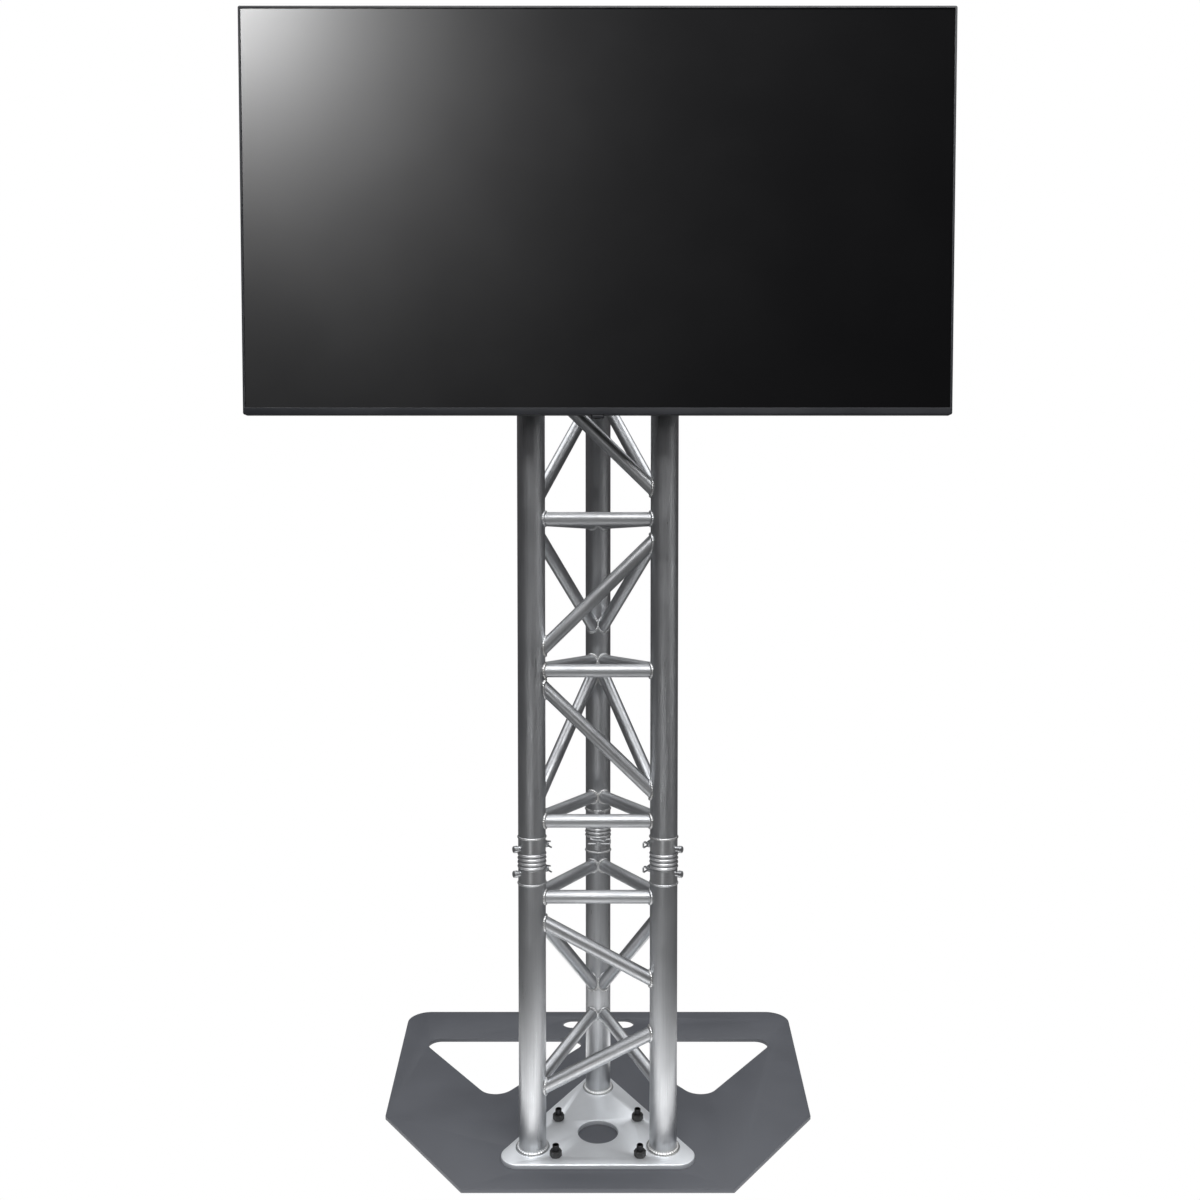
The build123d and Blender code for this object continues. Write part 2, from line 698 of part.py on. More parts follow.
with BuildPart() as tilt_plate:
    with BuildSketch(Plane.XZ.offset(-tilt_plate_back_y)):
        with Locations((0, screen_centre_z)):
            RectangleRounded(tilt_plate_size, tilt_plate_size, rail_corner_radius)
        with Locations((0, screen_centre_z + window_offset), (0, screen_centre_z - window_offset)):
            SlotOverall(tilt_window_length, tilt_window_width, mode=Mode.SUBTRACT)
        with Locations(*vesa_places):
            Circle(vesa_screw_diameter / 2 + bolt_clearance, mode=Mode.SUBTRACT)
    extrude(amount=tilt_plate_thickness)
    for side in (-1, 1):
        ear_middle = side * (inner_ear_outer_x - ear_thickness / 2)
        with BuildSketch(Plane.YZ.offset(ear_middle)):
            with BuildLine():
                Polyline(
                    (tilt_plate_back_y, screen_centre_z - ear_root_half_height),
                    (tilt_axis_y, screen_centre_z - ear_radius),
                    (tilt_axis_y, screen_centre_z + ear_radius),
                    (tilt_plate_back_y, screen_centre_z + ear_root_half_height),
                    close=True,
                )
            make_face()
            with Locations((tilt_axis_y, screen_centre_z)):
                Circle(ear_radius)
                Circle(tilt_shaft_diameter / 2 + running_clearance, mode=Mode.SUBTRACT)
        extrude(amount=ear_thickness / 2, both=True)
save(tilt_plate.part, "tilt_plate")

with BuildPart() as tilt_shaft:
    with BuildSketch(Plane.YZ):
        with Locations((tilt_axis_y, screen_centre_z)):
            Circle(tilt_shaft_diameter / 2)
    extrude(amount=ear_outer_x + knob_length, both=True)
    chamfer(tilt_shaft.edges().filter_by(GeomType.CIRCLE), bolt_tip_chamfer)
save(tilt_shaft.part, "tilt_shaft")

for name, side in (("left_tilt_knob", -1), ("right_tilt_knob", 1)):
    with BuildPart() as knob:
        with BuildSketch(Plane.YZ.offset(side * (ear_outer_x + ear_gap))):
            with Locations((tilt_axis_y, screen_centre_z)):
                Circle(knob_radius)
                with PolarLocations(knob_radius + knob_lobe_radius / 2, knob_lobes):
                    Circle(knob_lobe_radius, mode=Mode.SUBTRACT)
                Circle(tilt_shaft_diameter / 2 + running_clearance, mode=Mode.SUBTRACT)
        extrude(amount=side * (knob_length - ear_gap - knob_inset))
    save(knob.part, name)


# ================================================================ display
def display_layer(name, front_y, thickness, clearance):
    """One flat layer of the display, inside the bezel's walls."""
    with BuildPart() as layer:
        with BuildSketch(Plane.XZ.offset(-front_y)):
            with Locations((0, screen_centre_z)):
                Rectangle(inner_width - 2 * clearance, inner_height - 2 * clearance)
        extrude(amount=-thickness)
    save(layer.part, name)


with BuildPart() as bezel:
    with BuildSketch(Plane.XZ.offset(-screen_front_y)):
        with Locations((0, screen_centre_z)):
            RectangleRounded(screen_width, screen_height, bezel_corner_radius)
        with Locations((0, screen_centre_z + (bezel_bottom_lip - bezel_lip) / 2)):
            Rectangle(view_width, view_height, mode=Mode.SUBTRACT)
    extrude(amount=-bezel_lip_thickness)
    with BuildSketch(Plane.XZ.offset(-panel_front_y)):
        with Locations((0, screen_centre_z)):
            RectangleRounded(screen_width, screen_height, bezel_corner_radius)
            Rectangle(inner_width, inner_height, mode=Mode.SUBTRACT)
    extrude(amount=-(cover_front_y - panel_front_y))
    with BuildSketch(Plane.XY.offset(screen_bottom_z)):
        with Locations((0, button_y)):
            Rectangle(button_hole_width, button_hole_depth)
    extrude(amount=bezel_wall, mode=Mode.SUBTRACT)
save(bezel.part, "bezel")

display_layer("screen_panel", panel_front_y, panel_thickness, panel_clearance)
display_layer("light_guide", tray_rim_y, light_guide_thickness, panel_clearance + tray_sheet)

with BuildPart() as backlight_tray:
    with BuildSketch(Plane.XZ.offset(-tray_rim_y)):
        with Locations((0, screen_centre_z)):
            Rectangle(inner_width - 2 * panel_clearance, inner_height - 2 * panel_clearance)
            Rectangle(
                inner_width - 2 * (panel_clearance + tray_sheet - tray_rim_clearance),
                inner_height - 2 * (panel_clearance + tray_sheet - tray_rim_clearance),
                mode=Mode.SUBTRACT,
            )
    extrude(amount=-light_guide_thickness)
    with BuildSketch(Plane.XZ.offset(-tray_front_y)):
        with Locations((0, screen_centre_z)):
            Rectangle(inner_width - 2 * panel_clearance, inner_height - 2 * panel_clearance)
    extrude(amount=-tray_sheet)
save(backlight_tray.part, "backlight_tray")

with BuildPart() as rear_cover:
    with BuildSketch(Plane.XZ.offset(-cover_front_y)):
        with Locations((0, screen_centre_z)):
            RectangleRounded(screen_width, screen_height, bezel_corner_radius)
    extrude(amount=-cover_wall)
    with BuildSketch(Plane.XZ.offset(-cover_front_y)):
        with Locations((0, box_centre_z)):
            RectangleRounded(2 * box_half_width, box_height, box_corner_radius)
    extrude(amount=-(cover_wall + box_depth))
    chamfer(rear_cover.faces().sort_by(Axis.Y)[-1].edges(), box_edge_chamfer)
    with BuildSketch(Plane.XZ.offset(-cover_front_y)):
        with Locations((0, box_centre_z)):
            RectangleRounded(
                2 * (box_half_width - box_inset), box_height - 2 * box_inset, box_corner_radius - box_inset
            )
    extrude(amount=-box_depth, mode=Mode.SUBTRACT)
    with BuildSketch(Plane.XZ.offset(-cover_front_y)):
        with Locations(*vesa_places):
            Circle(vesa_post_radius + bolt_clearance)
    extrude(amount=-(cover_wall + box_depth), mode=Mode.SUBTRACT)
    with BuildSketch(Plane.XY.offset(box_bottom_z)):
        with Locations((inlet_x, inlet_y)):
            Rectangle(inlet_width + 2 * bolt_clearance, inlet_depth + 2 * bolt_clearance)
    extrude(amount=box_inset, mode=Mode.SUBTRACT)
save(rear_cover.part, "rear_cover")

with BuildPart() as mains_inlet:
    with BuildSketch(Plane.XY.offset(box_bottom_z)):
        with Locations((inlet_x, inlet_y)):
            Rectangle(inlet_width, inlet_depth)
    extrude(amount=inlet_height)
    with BuildSketch(Plane.XY.offset(box_bottom_z)):
        with Locations((inlet_x, inlet_y)):
            Rectangle(inlet_width - 2 * inlet_rim, inlet_depth - 2 * inlet_rim)
    extrude(amount=inlet_height - inlet_rim, mode=Mode.SUBTRACT)
    with BuildSketch(Plane.XY.offset(box_bottom_z + inlet_rim)):
        with Locations(*[(inlet_x + step * inlet_contact_pitch, inlet_y) for step in (-1, 0, 1)]):
            Rectangle(inlet_contact_width, inlet_contact_depth)
    extrude(amount=inlet_height - 2 * inlet_rim)
save(mains_inlet.part, "mains_inlet")


def from_display_centre(x, z):
    """A place across the display, measured from its centre."""
    return x, screen_centre_z + z


def circuit_board(name, centre, size, blocks):
    """A board standing on feet behind the tray, with its larger components."""
    with BuildPart() as board:
        with BuildSketch(Plane.XZ.offset(-board_front_y)):
            with Locations(from_display_centre(*centre)):
                Rectangle(*size)
        extrude(amount=-board_thickness)
        with BuildSketch(Plane.XZ.offset(-board_front_y)):
            with Locations(from_display_centre(*centre)):
                with GridLocations(size[0] - 2 * board_foot_inset, size[1] - 2 * board_foot_inset, 2, 2):
                    Circle(board_foot_radius)
        extrude(amount=board_front_y - tray_back_y)
        for x, z, width, height in blocks:
            with BuildSketch(Plane.XZ.offset(-(board_front_y + board_thickness))):
                with Locations(from_display_centre(centre[0] + x, centre[1] + z)):
                    Rectangle(width, height)
            extrude(amount=-component_height)
    save(board.part, name)


circuit_board("power_board", power_board_centre, power_board_size, power_board_blocks)
circuit_board("main_board", main_board_centre, main_board_size, main_board_blocks)

with BuildPart() as speakers:
    with BuildSketch(Plane.XZ.offset(-tray_back_y)):
        with Locations(*[from_display_centre(x, -speaker_drop) for x in (-speaker_x, speaker_x)]):
            RectangleRounded(speaker_width, speaker_height, bezel_corner_radius)
    extrude(amount=-speaker_depth)
save(speakers.part, "speakers")

with BuildPart() as vesa_posts:
    with BuildSketch(Plane.XZ.offset(-tray_back_y)):
        with Locations(*vesa_places):
            Circle(vesa_post_radius)
    extrude(amount=-(display_back_y - tray_back_y))
    with BuildSketch(Plane.XZ.offset(-display_back_y)):
        with Locations(*vesa_places):
            Circle(vesa_screw_diameter / 2 + thread_clearance)
    extrude(amount=vesa_screw_grip, mode=Mode.SUBTRACT)
save(vesa_posts.part, "vesa_posts")

with BuildPart() as vesa_screws:
    with BuildSketch(Plane.XZ.offset(-tilt_plate_back_y)):
        with Locations(*vesa_places):
            Circle(vesa_screw_head_radius)
    extrude(amount=-vesa_screw_head_height)
    with BuildSketch(Plane.XZ.offset(-tilt_plate_back_y)):
        with Locations(*vesa_places):
            Circle(vesa_screw_diameter / 2)
    extrude(amount=tilt_plate_thickness + vesa_screw_grip - vesa_screw_diameter / 2)
save(vesa_screws.part, "vesa_screws")

with BuildPart() as sensor_housing:
    with BuildSketch(Plane.XY.offset(screen_bottom_z)):
        with Locations((0, button_y)):
            RectangleRounded(sensor_width, sensor_depth, bezel_corner_radius)
            Rectangle(button_hole_width, button_hole_depth, mode=Mode.SUBTRACT)
    extrude(amount=-sensor_height)
save(sensor_housing.part, "sensor_housing")

with BuildPart() as power_button:
    with BuildSketch(Plane.XY.offset(screen_bottom_z - sensor_height - button_proud)):
        with Locations((0, button_y)):
            Rectangle(button_width, button_depth)
    extrude(amount=sensor_height + button_proud)
    fillet(power_button.faces().sort_by(Axis.Z)[0].edges(), button_edge_radius)
save(power_button.part, "power_button")
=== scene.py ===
"""Looks for a free-standing truss tower with a tilting display: welds, fasteners, display shells, finishes, stage."""

import json
import math
import random

import bmesh
import bpy
from bpy.props import FloatProperty, FloatVectorProperty, IntProperty, PointerProperty
from mathutils import Matrix, Vector


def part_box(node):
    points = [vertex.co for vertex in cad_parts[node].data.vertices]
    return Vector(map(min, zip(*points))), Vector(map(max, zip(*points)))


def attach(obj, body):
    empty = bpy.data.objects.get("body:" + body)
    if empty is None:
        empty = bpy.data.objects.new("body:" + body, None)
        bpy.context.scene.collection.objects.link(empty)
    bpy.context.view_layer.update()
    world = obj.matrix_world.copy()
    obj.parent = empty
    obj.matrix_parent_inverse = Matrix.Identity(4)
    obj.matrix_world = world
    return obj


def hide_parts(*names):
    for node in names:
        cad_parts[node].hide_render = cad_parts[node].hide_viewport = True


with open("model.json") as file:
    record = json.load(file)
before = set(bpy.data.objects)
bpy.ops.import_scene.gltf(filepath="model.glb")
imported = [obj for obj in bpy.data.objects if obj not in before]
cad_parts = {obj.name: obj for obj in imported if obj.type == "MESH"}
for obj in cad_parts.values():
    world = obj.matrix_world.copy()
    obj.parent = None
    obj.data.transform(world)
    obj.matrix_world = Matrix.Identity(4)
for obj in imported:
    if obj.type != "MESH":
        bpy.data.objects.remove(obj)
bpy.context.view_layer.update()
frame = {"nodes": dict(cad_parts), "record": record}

bl_info = {
    "name": "Truss display tower",
    "version": (1, 0, 0),
    "blender": (4, 5, 0),
    "location": "3D View > Sidebar > Truss Tower",
    "description": "Welds, fasteners, display shells, finishes and a plain studio around the packed tower",
    "category": "Object",
}

MM = 0.001
TAU = 2 * math.pi
STAND = "stand"
CHORDS = ("left", "right", "back")


# ---------------------------------------------------------------- places read from the frame
def middle(node):
    """Centre of a CAD node's box."""
    low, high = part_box(node)
    return (low + high) / 2


chord_axis = {name: middle(f"upper_chord_{name}") * Vector((1, 1, 0)) for name in CHORDS}
chord_low, chord_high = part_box("upper_chord_left")
CHORD_RADIUS = (chord_high.x - chord_low.x) / 2
rung_low, rung_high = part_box("upper_front_rungs")
BRACE_RADIUS = (rung_high.y - rung_low.y) / 2
BASE_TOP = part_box("base_plate")[1].z
JOINT_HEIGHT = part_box("upper_receivers")[0].z
tower_heights = {
    "foot": BASE_TOP,
    "lower_weld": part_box("lower_chord_left")[1].z,
    "upper_weld": chord_low.z,
    "top_weld": chord_high.z,
}


# ---------------------------------------------------------------- settings a user can change
class WeldSettings(bpy.types.PropertyGroup):
    """Sizes of the weld beads."""

    brace_bead: FloatProperty(
        name="Brace bead", description="Radius of the bead around a brace's end", default=3.1 * MM, unit="LENGTH"
    )
    sleeve_bead: FloatProperty(
        name="Sleeve bead", description="Radius of the bead where a sleeve meets its chord", default=1.9 * MM,
        unit="LENGTH",
    )
    foot_bead: FloatProperty(
        name="Foot bead", description="Radius of the bead around a chord's foot", default=4.6 * MM, unit="LENGTH"
    )
    coin_pitch: FloatProperty(
        name="Coin pitch", description="Distance from one weld coin to the next", default=2.9 * MM, unit="LENGTH"
    )
    seed: IntProperty(name="Seed", description="Start of the welds' unevenness", default=11)


class RidgeSettings(bpy.types.PropertyGroup):
    """Sizes of the ridges on the sleeves."""

    count: IntProperty(name="Ridges", description="Ridges across one pair of sleeves", default=4)
    pitch: FloatProperty(
        name="Pitch", description="Distance from one ridge to the next", default=7.6 * MM, unit="LENGTH"
    )
    round: FloatProperty(name="Round", description="Radius of a ridge's section", default=2.2 * MM, unit="LENGTH")
    stand_off: FloatProperty(
        name="Stand-off", description="How far a ridge stands out of the tube", default=1.3 * MM, unit="LENGTH"
    )


class FastenerSettings(bpy.types.PropertyGroup):
    """Sizes of the base fasteners."""

    thread_pitch: FloatProperty(
        name="Thread pitch", description="Distance from one thread crest to the next", default=1.75 * MM,
        unit="LENGTH",
    )
    thread_depth: FloatProperty(
        name="Thread depth", description="Height of a thread", default=0.8 * MM, unit="LENGTH"
    )
    washer_face: FloatProperty(
        name="Washer face", description="Height of the round face under a nut's corners", default=0.6 * MM,
        unit="LENGTH",
    )
    corner_cut: FloatProperty(
        name="Corner cut", description="How far a nut's corners are cut back", default=1.6 * MM, unit="LENGTH"
    )


class DisplaySettings(bpy.types.PropertyGroup):
    """Sizes of the display's shells."""

    edge_round: FloatProperty(
        name="Edge round", description="Rounding of the bezel's outer edge", default=1.0 * MM, unit="LENGTH"
    )
    cover_round: FloatProperty(
        name="Cover round", description="Rounding of the rear cover's raised box", default=9.0 * MM, unit="LENGTH"
    )
    button_gap: FloatProperty(
        name="Button gap", description="Clearance round the power button", default=0.4 * MM, unit="LENGTH"
    )
    vent_count: IntProperty(name="Vents", description="Slots in each row of vents", default=58)
    vent_depth: FloatProperty(
        name="Vent depth", description="How deep a vent slot is", default=1.2 * MM, unit="LENGTH"
    )


class FinishSettings(bpy.types.PropertyGroup):
    """Colours of the finishes."""

    aluminium: FloatVectorProperty(
        name="Aluminium", description="Colour of the drawn tubes", subtype="COLOR", size=4,
        default=(0.56, 0.57, 0.585, 1), min=0, max=1,
    )
    machined: FloatVectorProperty(
        name="Machined", description="Colour of turned parts", subtype="COLOR", size=4,
        default=(0.66, 0.665, 0.675, 1), min=0, max=1,
    )
    floor_paint: FloatVectorProperty(
        name="Floor plate", description="Colour of the powder coat", subtype="COLOR", size=4,
        default=(0.074, 0.078, 0.089, 1), min=0, max=1,
    )
    black: FloatVectorProperty(
        name="Black parts", description="Colour of black metal and plastic", subtype="COLOR", size=4,
        default=(0.012, 0.0125, 0.014, 1), min=0, max=1,
    )


class StageSettings(bpy.types.PropertyGroup):
    """Camera, floor and lights."""

    camera_height: FloatProperty(
        name="Camera height", description="Height of the lens", default=1.085, unit="LENGTH"
    )
    camera_distance: FloatProperty(
        name="Camera distance", description="From the lens to the tower's axis", default=1.85, unit="LENGTH"
    )
    camera_shift: FloatProperty(
        name="Camera sideways", description="The lens's place to the right of the axis", default=0.0039,
        unit="LENGTH",
    )
    camera_pitch: FloatProperty(
        name="Camera pitch", description="How far the lens looks down", default=math.radians(2.11),
        subtype="ANGLE",
    )
    lens: FloatProperty(name="Lens", description="Focal length on a 36 mm sensor", default=29.76)
    floor_size: FloatProperty(name="Floor", description="Side of the pale floor", default=40.0, unit="LENGTH")


# ---------------------------------------------------------------- shader helpers
def add(tree, kind, **values):
    """A shader node with the given socket values."""
    made = tree.nodes.new(kind)
    for name, value in values.items():
        made.inputs[name.replace("_", " ")].default_value = value
    return made


def noise(tree, vector, scale, detail=3.0, roughness=0.5):
    """A noise texture on the given coordinates."""
    made = add(tree, "ShaderNodeTexNoise", Scale=scale, Detail=detail, Roughness=roughness)
    tree.links.new(vector, made.inputs["Vector"])
    return made.outputs["Fac"]


def ramp(tree, source, low, high, out_low=0.0, out_high=1.0):
    """Map a value smoothly from one range to another."""
    made = tree.nodes.new("ShaderNodeMapRange")
    made.interpolation_type = "SMOOTHSTEP"
    tree.links.new(source, made.inputs["Value"])
    for name, value in (("From Min", low), ("From Max", high), ("To Min", out_low), ("To Max", out_high)):
        made.inputs[name].default_value = value
    return made.outputs["Result"]


def blend(tree, factor, first, second, mode="MIX"):
    """Mix two colours; each may be a socket or a colour."""
    made = tree.nodes.new("ShaderNodeMix")
    made.data_type = "RGBA"
    made.blend_type = mode
    for socket, value in ((made.inputs[0], factor), (made.inputs[6], first), (made.inputs[7], second)):
        if isinstance(value, bpy.types.NodeSocket):
            tree.links.new(value, socket)
        else:
            socket.default_value = value
    return made.outputs[2]


def scalar(tree, operation, first, second):
    """One math operation; each value may be a socket or a number."""
    made = tree.nodes.new("ShaderNodeMath")
    made.operation = operation
    for socket, value in zip(made.inputs, (first, second)):
        if isinstance(value, bpy.types.NodeSocket):
            tree.links.new(value, socket)
        else:
            socket.default_value = value
    return made.outputs[0]


def start_group(name, inputs, outputs):
    """A shader node group with named float or vector inputs and float outputs."""
    group = bpy.data.node_groups.new(name, "ShaderNodeTree")
    for label, kind, default in inputs:
        socket = group.interface.new_socket(label, in_out="INPUT", socket_type=kind)
        if default is not None:
            socket.default_value = default
    for label in outputs:
        group.interface.new_socket(label, in_out="OUTPUT", socket_type="NodeSocketFloat")
    return group, group.nodes.new("NodeGroupInput"), group.nodes.new("NodeGroupOutput")


def drawn_lines_group():
    """Fine lines along a tube, left by drawing it through a die, and slow patches of dulling."""
    group, given, result = start_group(
        "drawn_lines",
        [("Vector", "NodeSocketVector", None), ("Line Scale", "NodeSocketFloat", 900.0)],
        ["Lines", "Patches", "Scratches"],
    )
    stretch = add(group, "ShaderNodeVectorMath", )
    stretch.operation = "MULTIPLY"
    stretch.inputs[1].default_value = (1.0, 1.0, 0.012)
    group.links.new(given.outputs["Vector"], stretch.inputs[0])
    lines = add(group, "ShaderNodeTexNoise", Detail=4.0, Roughness=0.62)
    group.links.new(stretch.outputs[0], lines.inputs["Vector"])
    group.links.new(given.outputs["Line Scale"], lines.inputs["Scale"])
    group.links.new(ramp(group, lines.outputs["Fac"], 0.32, 0.68), result.inputs["Lines"])
    patches = noise(group, given.outputs["Vector"], 14.0, 5.0, 0.6)
    group.links.new(ramp(group, patches, 0.38, 0.68), result.inputs["Patches"])
    marks = add(group, "ShaderNodeTexVoronoi", Scale=95.0, Randomness=1.0)
    marks.feature = "DISTANCE_TO_EDGE"
    group.links.new(given.outputs["Vector"], marks.inputs["Vector"])
    group.links.new(ramp(group, marks.outputs["Distance"], 0.0, 0.012, 1.0, 0.0), result.inputs["Scratches"])
    return group


def fine_grain_group():
    """The pebbled skin of powder coat and moulded plastic, with a slow unevenness in gloss and a little dust."""
    group, given, result = start_group(
        "fine_grain",
        [("Vector", "NodeSocketVector", None), ("Grain Scale", "NodeSocketFloat", 1400.0)],
        ["Grain", "Patches", "Dust"],
    )
    pebbles = add(group, "ShaderNodeTexNoise", Detail=2.0, Roughness=0.6)
    group.links.new(given.outputs["Vector"], pebbles.inputs["Vector"])
    group.links.new(given.outputs["Grain Scale"], pebbles.inputs["Scale"])
    group.links.new(pebbles.outputs["Fac"], result.inputs["Grain"])
    patches = noise(group, given.outputs["Vector"], 9.0, 5.0, 0.55)
    group.links.new(ramp(group, patches, 0.35, 0.7), result.inputs["Patches"])
    dust = noise(group, given.outputs["Vector"], 420.0, 2.0, 0.7)
    group.links.new(ramp(group, dust, 0.66, 0.78), result.inputs["Dust"])
    return group


def new_material(name):
    """A material with its Principled BSDF and its Object coordinates."""
    material = bpy.data.materials.new(name)
    material.use_nodes = True
    tree = material.node_tree
    shader = tree.nodes["Principled BSDF"]
    place = tree.nodes.new("ShaderNodeTexCoord").outputs["Object"]
    return material, tree, shader, place


def use_group(tree, name, vector, **values):
    """An instance of a shared group, fed with coordinates."""
    made = tree.nodes.new("ShaderNodeGroup")
    made.node_tree = bpy.data.node_groups[name]
    tree.links.new(vector, made.inputs["Vector"])
    for label, value in values.items():
        made.inputs[label.replace("_", " ")].default_value = value
    return made.outputs


def aim(tree, vector, direction):
    """Turn coordinates so that their local Z runs along a direction."""
    mapping = tree.nodes.new("ShaderNodeMapping")
    mapping.vector_type = "POINT"
    turn = Vector(direction).to_track_quat("Z", "Y").inverted().to_euler()
    mapping.inputs["Rotation"].default_value = turn
    tree.links.new(vector, mapping.inputs["Vector"])
    return mapping.outputs["Vector"]


def bump(tree, shader, height, strength, distance):
    """Feed a height to the shader's normal."""
    made = add(tree, "ShaderNodeBump", Strength=strength, Distance=distance)
    tree.links.new(height, made.inputs["Height"])
    tree.links.new(made.outputs["Normal"], shader.inputs["Normal"])


def drawn_aluminium(name, direction, colour, roughness=0.27, line_scale=900.0, line_depth=0.8):
    """Satin drawn aluminium with lines along a direction, which spread its highlights round the tube."""
    material, tree, shader, place = new_material(name)
    marks = use_group(tree, "drawn_lines", aim(tree, place, direction), Line_Scale=line_scale)
    dark = [channel * 0.80 for channel in colour[:3]] + [1.0]
    shade = blend(tree, scalar(tree, "MULTIPLY", marks["Lines"], 0.55), colour, dark)
    dulled = [channel * 0.9 for channel in colour[:3]] + [1.0]
    tree.links.new(blend(tree, scalar(tree, "MULTIPLY", marks["Patches"], 0.6), shade, dulled), shader.inputs["Base Color"])
    rough = scalar(tree, "ADD", scalar(tree, "MULTIPLY", marks["Patches"], 0.09), roughness)
    rough = scalar(tree, "ADD", rough, scalar(tree, "MULTIPLY", marks["Lines"], 0.07))
    tree.links.new(rough, shader.inputs["Roughness"])
    shader.inputs["Metallic"].default_value = 1.0
    height = scalar(tree, "SUBTRACT", marks["Lines"], scalar(tree, "MULTIPLY", marks["Scratches"], 0.1))
    bump(tree, shader, height, line_depth, 0.0002)
    return material


def plain_metal(name, colour, roughness, patch=0.12, grain=900.0, strength=0.08, metallic=1.0):
    """Cast, plated or mill-finish metal with a fine grain."""
    material, tree, shader, place = new_material(name)
    marks = use_group(tree, "fine_grain", place, Grain_Scale=grain)
    dark = [channel * 0.82 for channel in colour[:3]] + [1.0]
    tree.links.new(blend(tree, scalar(tree, "MULTIPLY", marks["Patches"], 0.5), colour, dark), shader.inputs["Base Color"])
    tree.links.new(
        scalar(tree, "ADD", scalar(tree, "MULTIPLY", marks["Patches"], patch), roughness), shader.inputs["Roughness"]
    )
    shader.inputs["Metallic"].default_value = metallic
    bump(tree, shader, marks["Grain"], strength, 0.0002)
    return material


def coating(name, colour, roughness, grain=1400.0, strength=0.35, dust=0.25, distance=0.00015):
    """Powder coat or moulded plastic, with its pebbled skin and a little dust."""
    material, tree, shader, place = new_material(name)
    marks = use_group(tree, "fine_grain", place, Grain_Scale=grain)
    lighter = [min(1.0, channel * 1.16 + 0.002) for channel in colour[:3]] + [1.0]
    shade = blend(tree, scalar(tree, "MULTIPLY", marks["Patches"], 0.6), colour, lighter)
    dusty = [channel * 0.6 + 0.16 for channel in colour[:3]] + [1.0]
    tree.links.new(blend(tree, scalar(tree, "MULTIPLY", marks["Dust"], dust), shade, dusty), shader.inputs["Base Color"])
    tree.links.new(
        scalar(tree, "ADD", scalar(tree, "MULTIPLY", marks["Patches"], 0.1), roughness), shader.inputs["Roughness"]
    )
    bump(tree, shader, marks["Grain"], strength, distance)
    return material


def screen_glass(name):
    """The display's semi-gloss front: almost black, with a faint haze."""
    material, tree, shader, place = new_material(name)
    haze = noise(tree, place, 5.0, 3.0, 0.5)
    tree.links.new(blend(tree, haze, (0.0008, 0.0008, 0.0010, 1), (0.0011, 0.0011, 0.0013, 1)), shader.inputs["Base Color"])
    tree.links.new(ramp(tree, haze, 0.3, 0.7, 0.385, 0.41), shader.inputs["Roughness"])
    shader.inputs["Specular IOR Level"].default_value = 0.13
    grain = noise(tree, place, 2600.0, 1.0, 0.5)
    bump(tree, shader, grain, 0.03, 0.00005)
    return material


def weld_metal(name, colour):
    """Weld beads: brighter, rippled metal with a faint heat tint."""
    material, tree, shader, place = new_material(name)
    marks = use_group(tree, "fine_grain", place, Grain_Scale=700.0)
    straw = (colour[0] * 0.98, colour[1] * 0.93, colour[2] * 0.86, 1)
    tree.links.new(blend(tree, scalar(tree, "MULTIPLY", marks["Patches"], 0.5), colour, straw), shader.inputs["Base Color"])
    tree.links.new(ramp(tree, marks["Grain"], 0.2, 0.8, 0.24, 0.40), shader.inputs["Roughness"])
    shader.inputs["Metallic"].default_value = 1.0
    bump(tree, shader, marks["Grain"], 0.15, 0.0002)
    return material


# ---------------------------------------------------------------- mesh helpers
def finish_piece(name, shape, material, body, slot=None, replaces=(), crease=35.0):
    """Turn a bmesh into a piece that rides on a CAD body."""
    mesh = bpy.data.meshes.new(name)
    shape.to_mesh(mesh)
    shape.free()
    mesh.shade_smooth()
    mesh.set_sharp_from_angle(angle=math.radians(crease))
    mesh.materials.append(material)
    piece = bpy.data.objects.new(name, mesh)
    bpy.context.scene.collection.objects.link(piece)
    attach(piece, body)
    if replaces:
        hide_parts(*replaces)
    return piece


def softened(node, width, segments=2, name=None, crease=35.0):
    """A copy of a CAD node with its sharp edges rounded; it stands for the node."""
    source = frame["nodes"][node]
    shape = bmesh.new()
    shape.from_mesh(source.data)
    bmesh.ops.remove_doubles(shape, verts=shape.verts, dist=1e-6)
    bmesh.ops.dissolve_limit(shape, angle_limit=math.radians(0.5), verts=shape.verts, edges=shape.edges)
    sharp = [edge for edge in shape.edges if len(edge.link_faces) == 2 and edge.calc_face_angle(0) > math.radians(30)]
    bmesh.ops.bevel(shape, geom=sharp, offset=width, offset_type="OFFSET", affect="EDGES", segments=segments,
                    profile=0.5, material=-1, clamp_overlap=True)
    part = next(item for item in frame["record"]["subparts"] if item["node"] == node)
    body = next(body for body, nodes in frame["record"]["behaviour"]["bodies"].items() if node in nodes)
    return finish_piece(name or f"soft_{node}", shape, source.data.materials[0], body, part["material_slot"],
                        (node,), crease)


def smooth_ring(shape, placing, radius, round_radius):
    """Add a closed round ring."""
    cut = placing @ Matrix.Translation((radius, 0, 0)) @ Matrix.Rotation(math.pi / 2, 4, "X")
    made = bmesh.ops.create_circle(shape, segments=16, radius=round_radius, matrix=cut)
    edges = {edge for vert in made["verts"] for edge in vert.link_edges}
    bmesh.ops.spin(
        shape, geom=list(made["verts"]) + list(edges), cent=placing.translation, axis=placing.col[2].xyz,
        angle=TAU, steps=96, use_merge=True,
    )


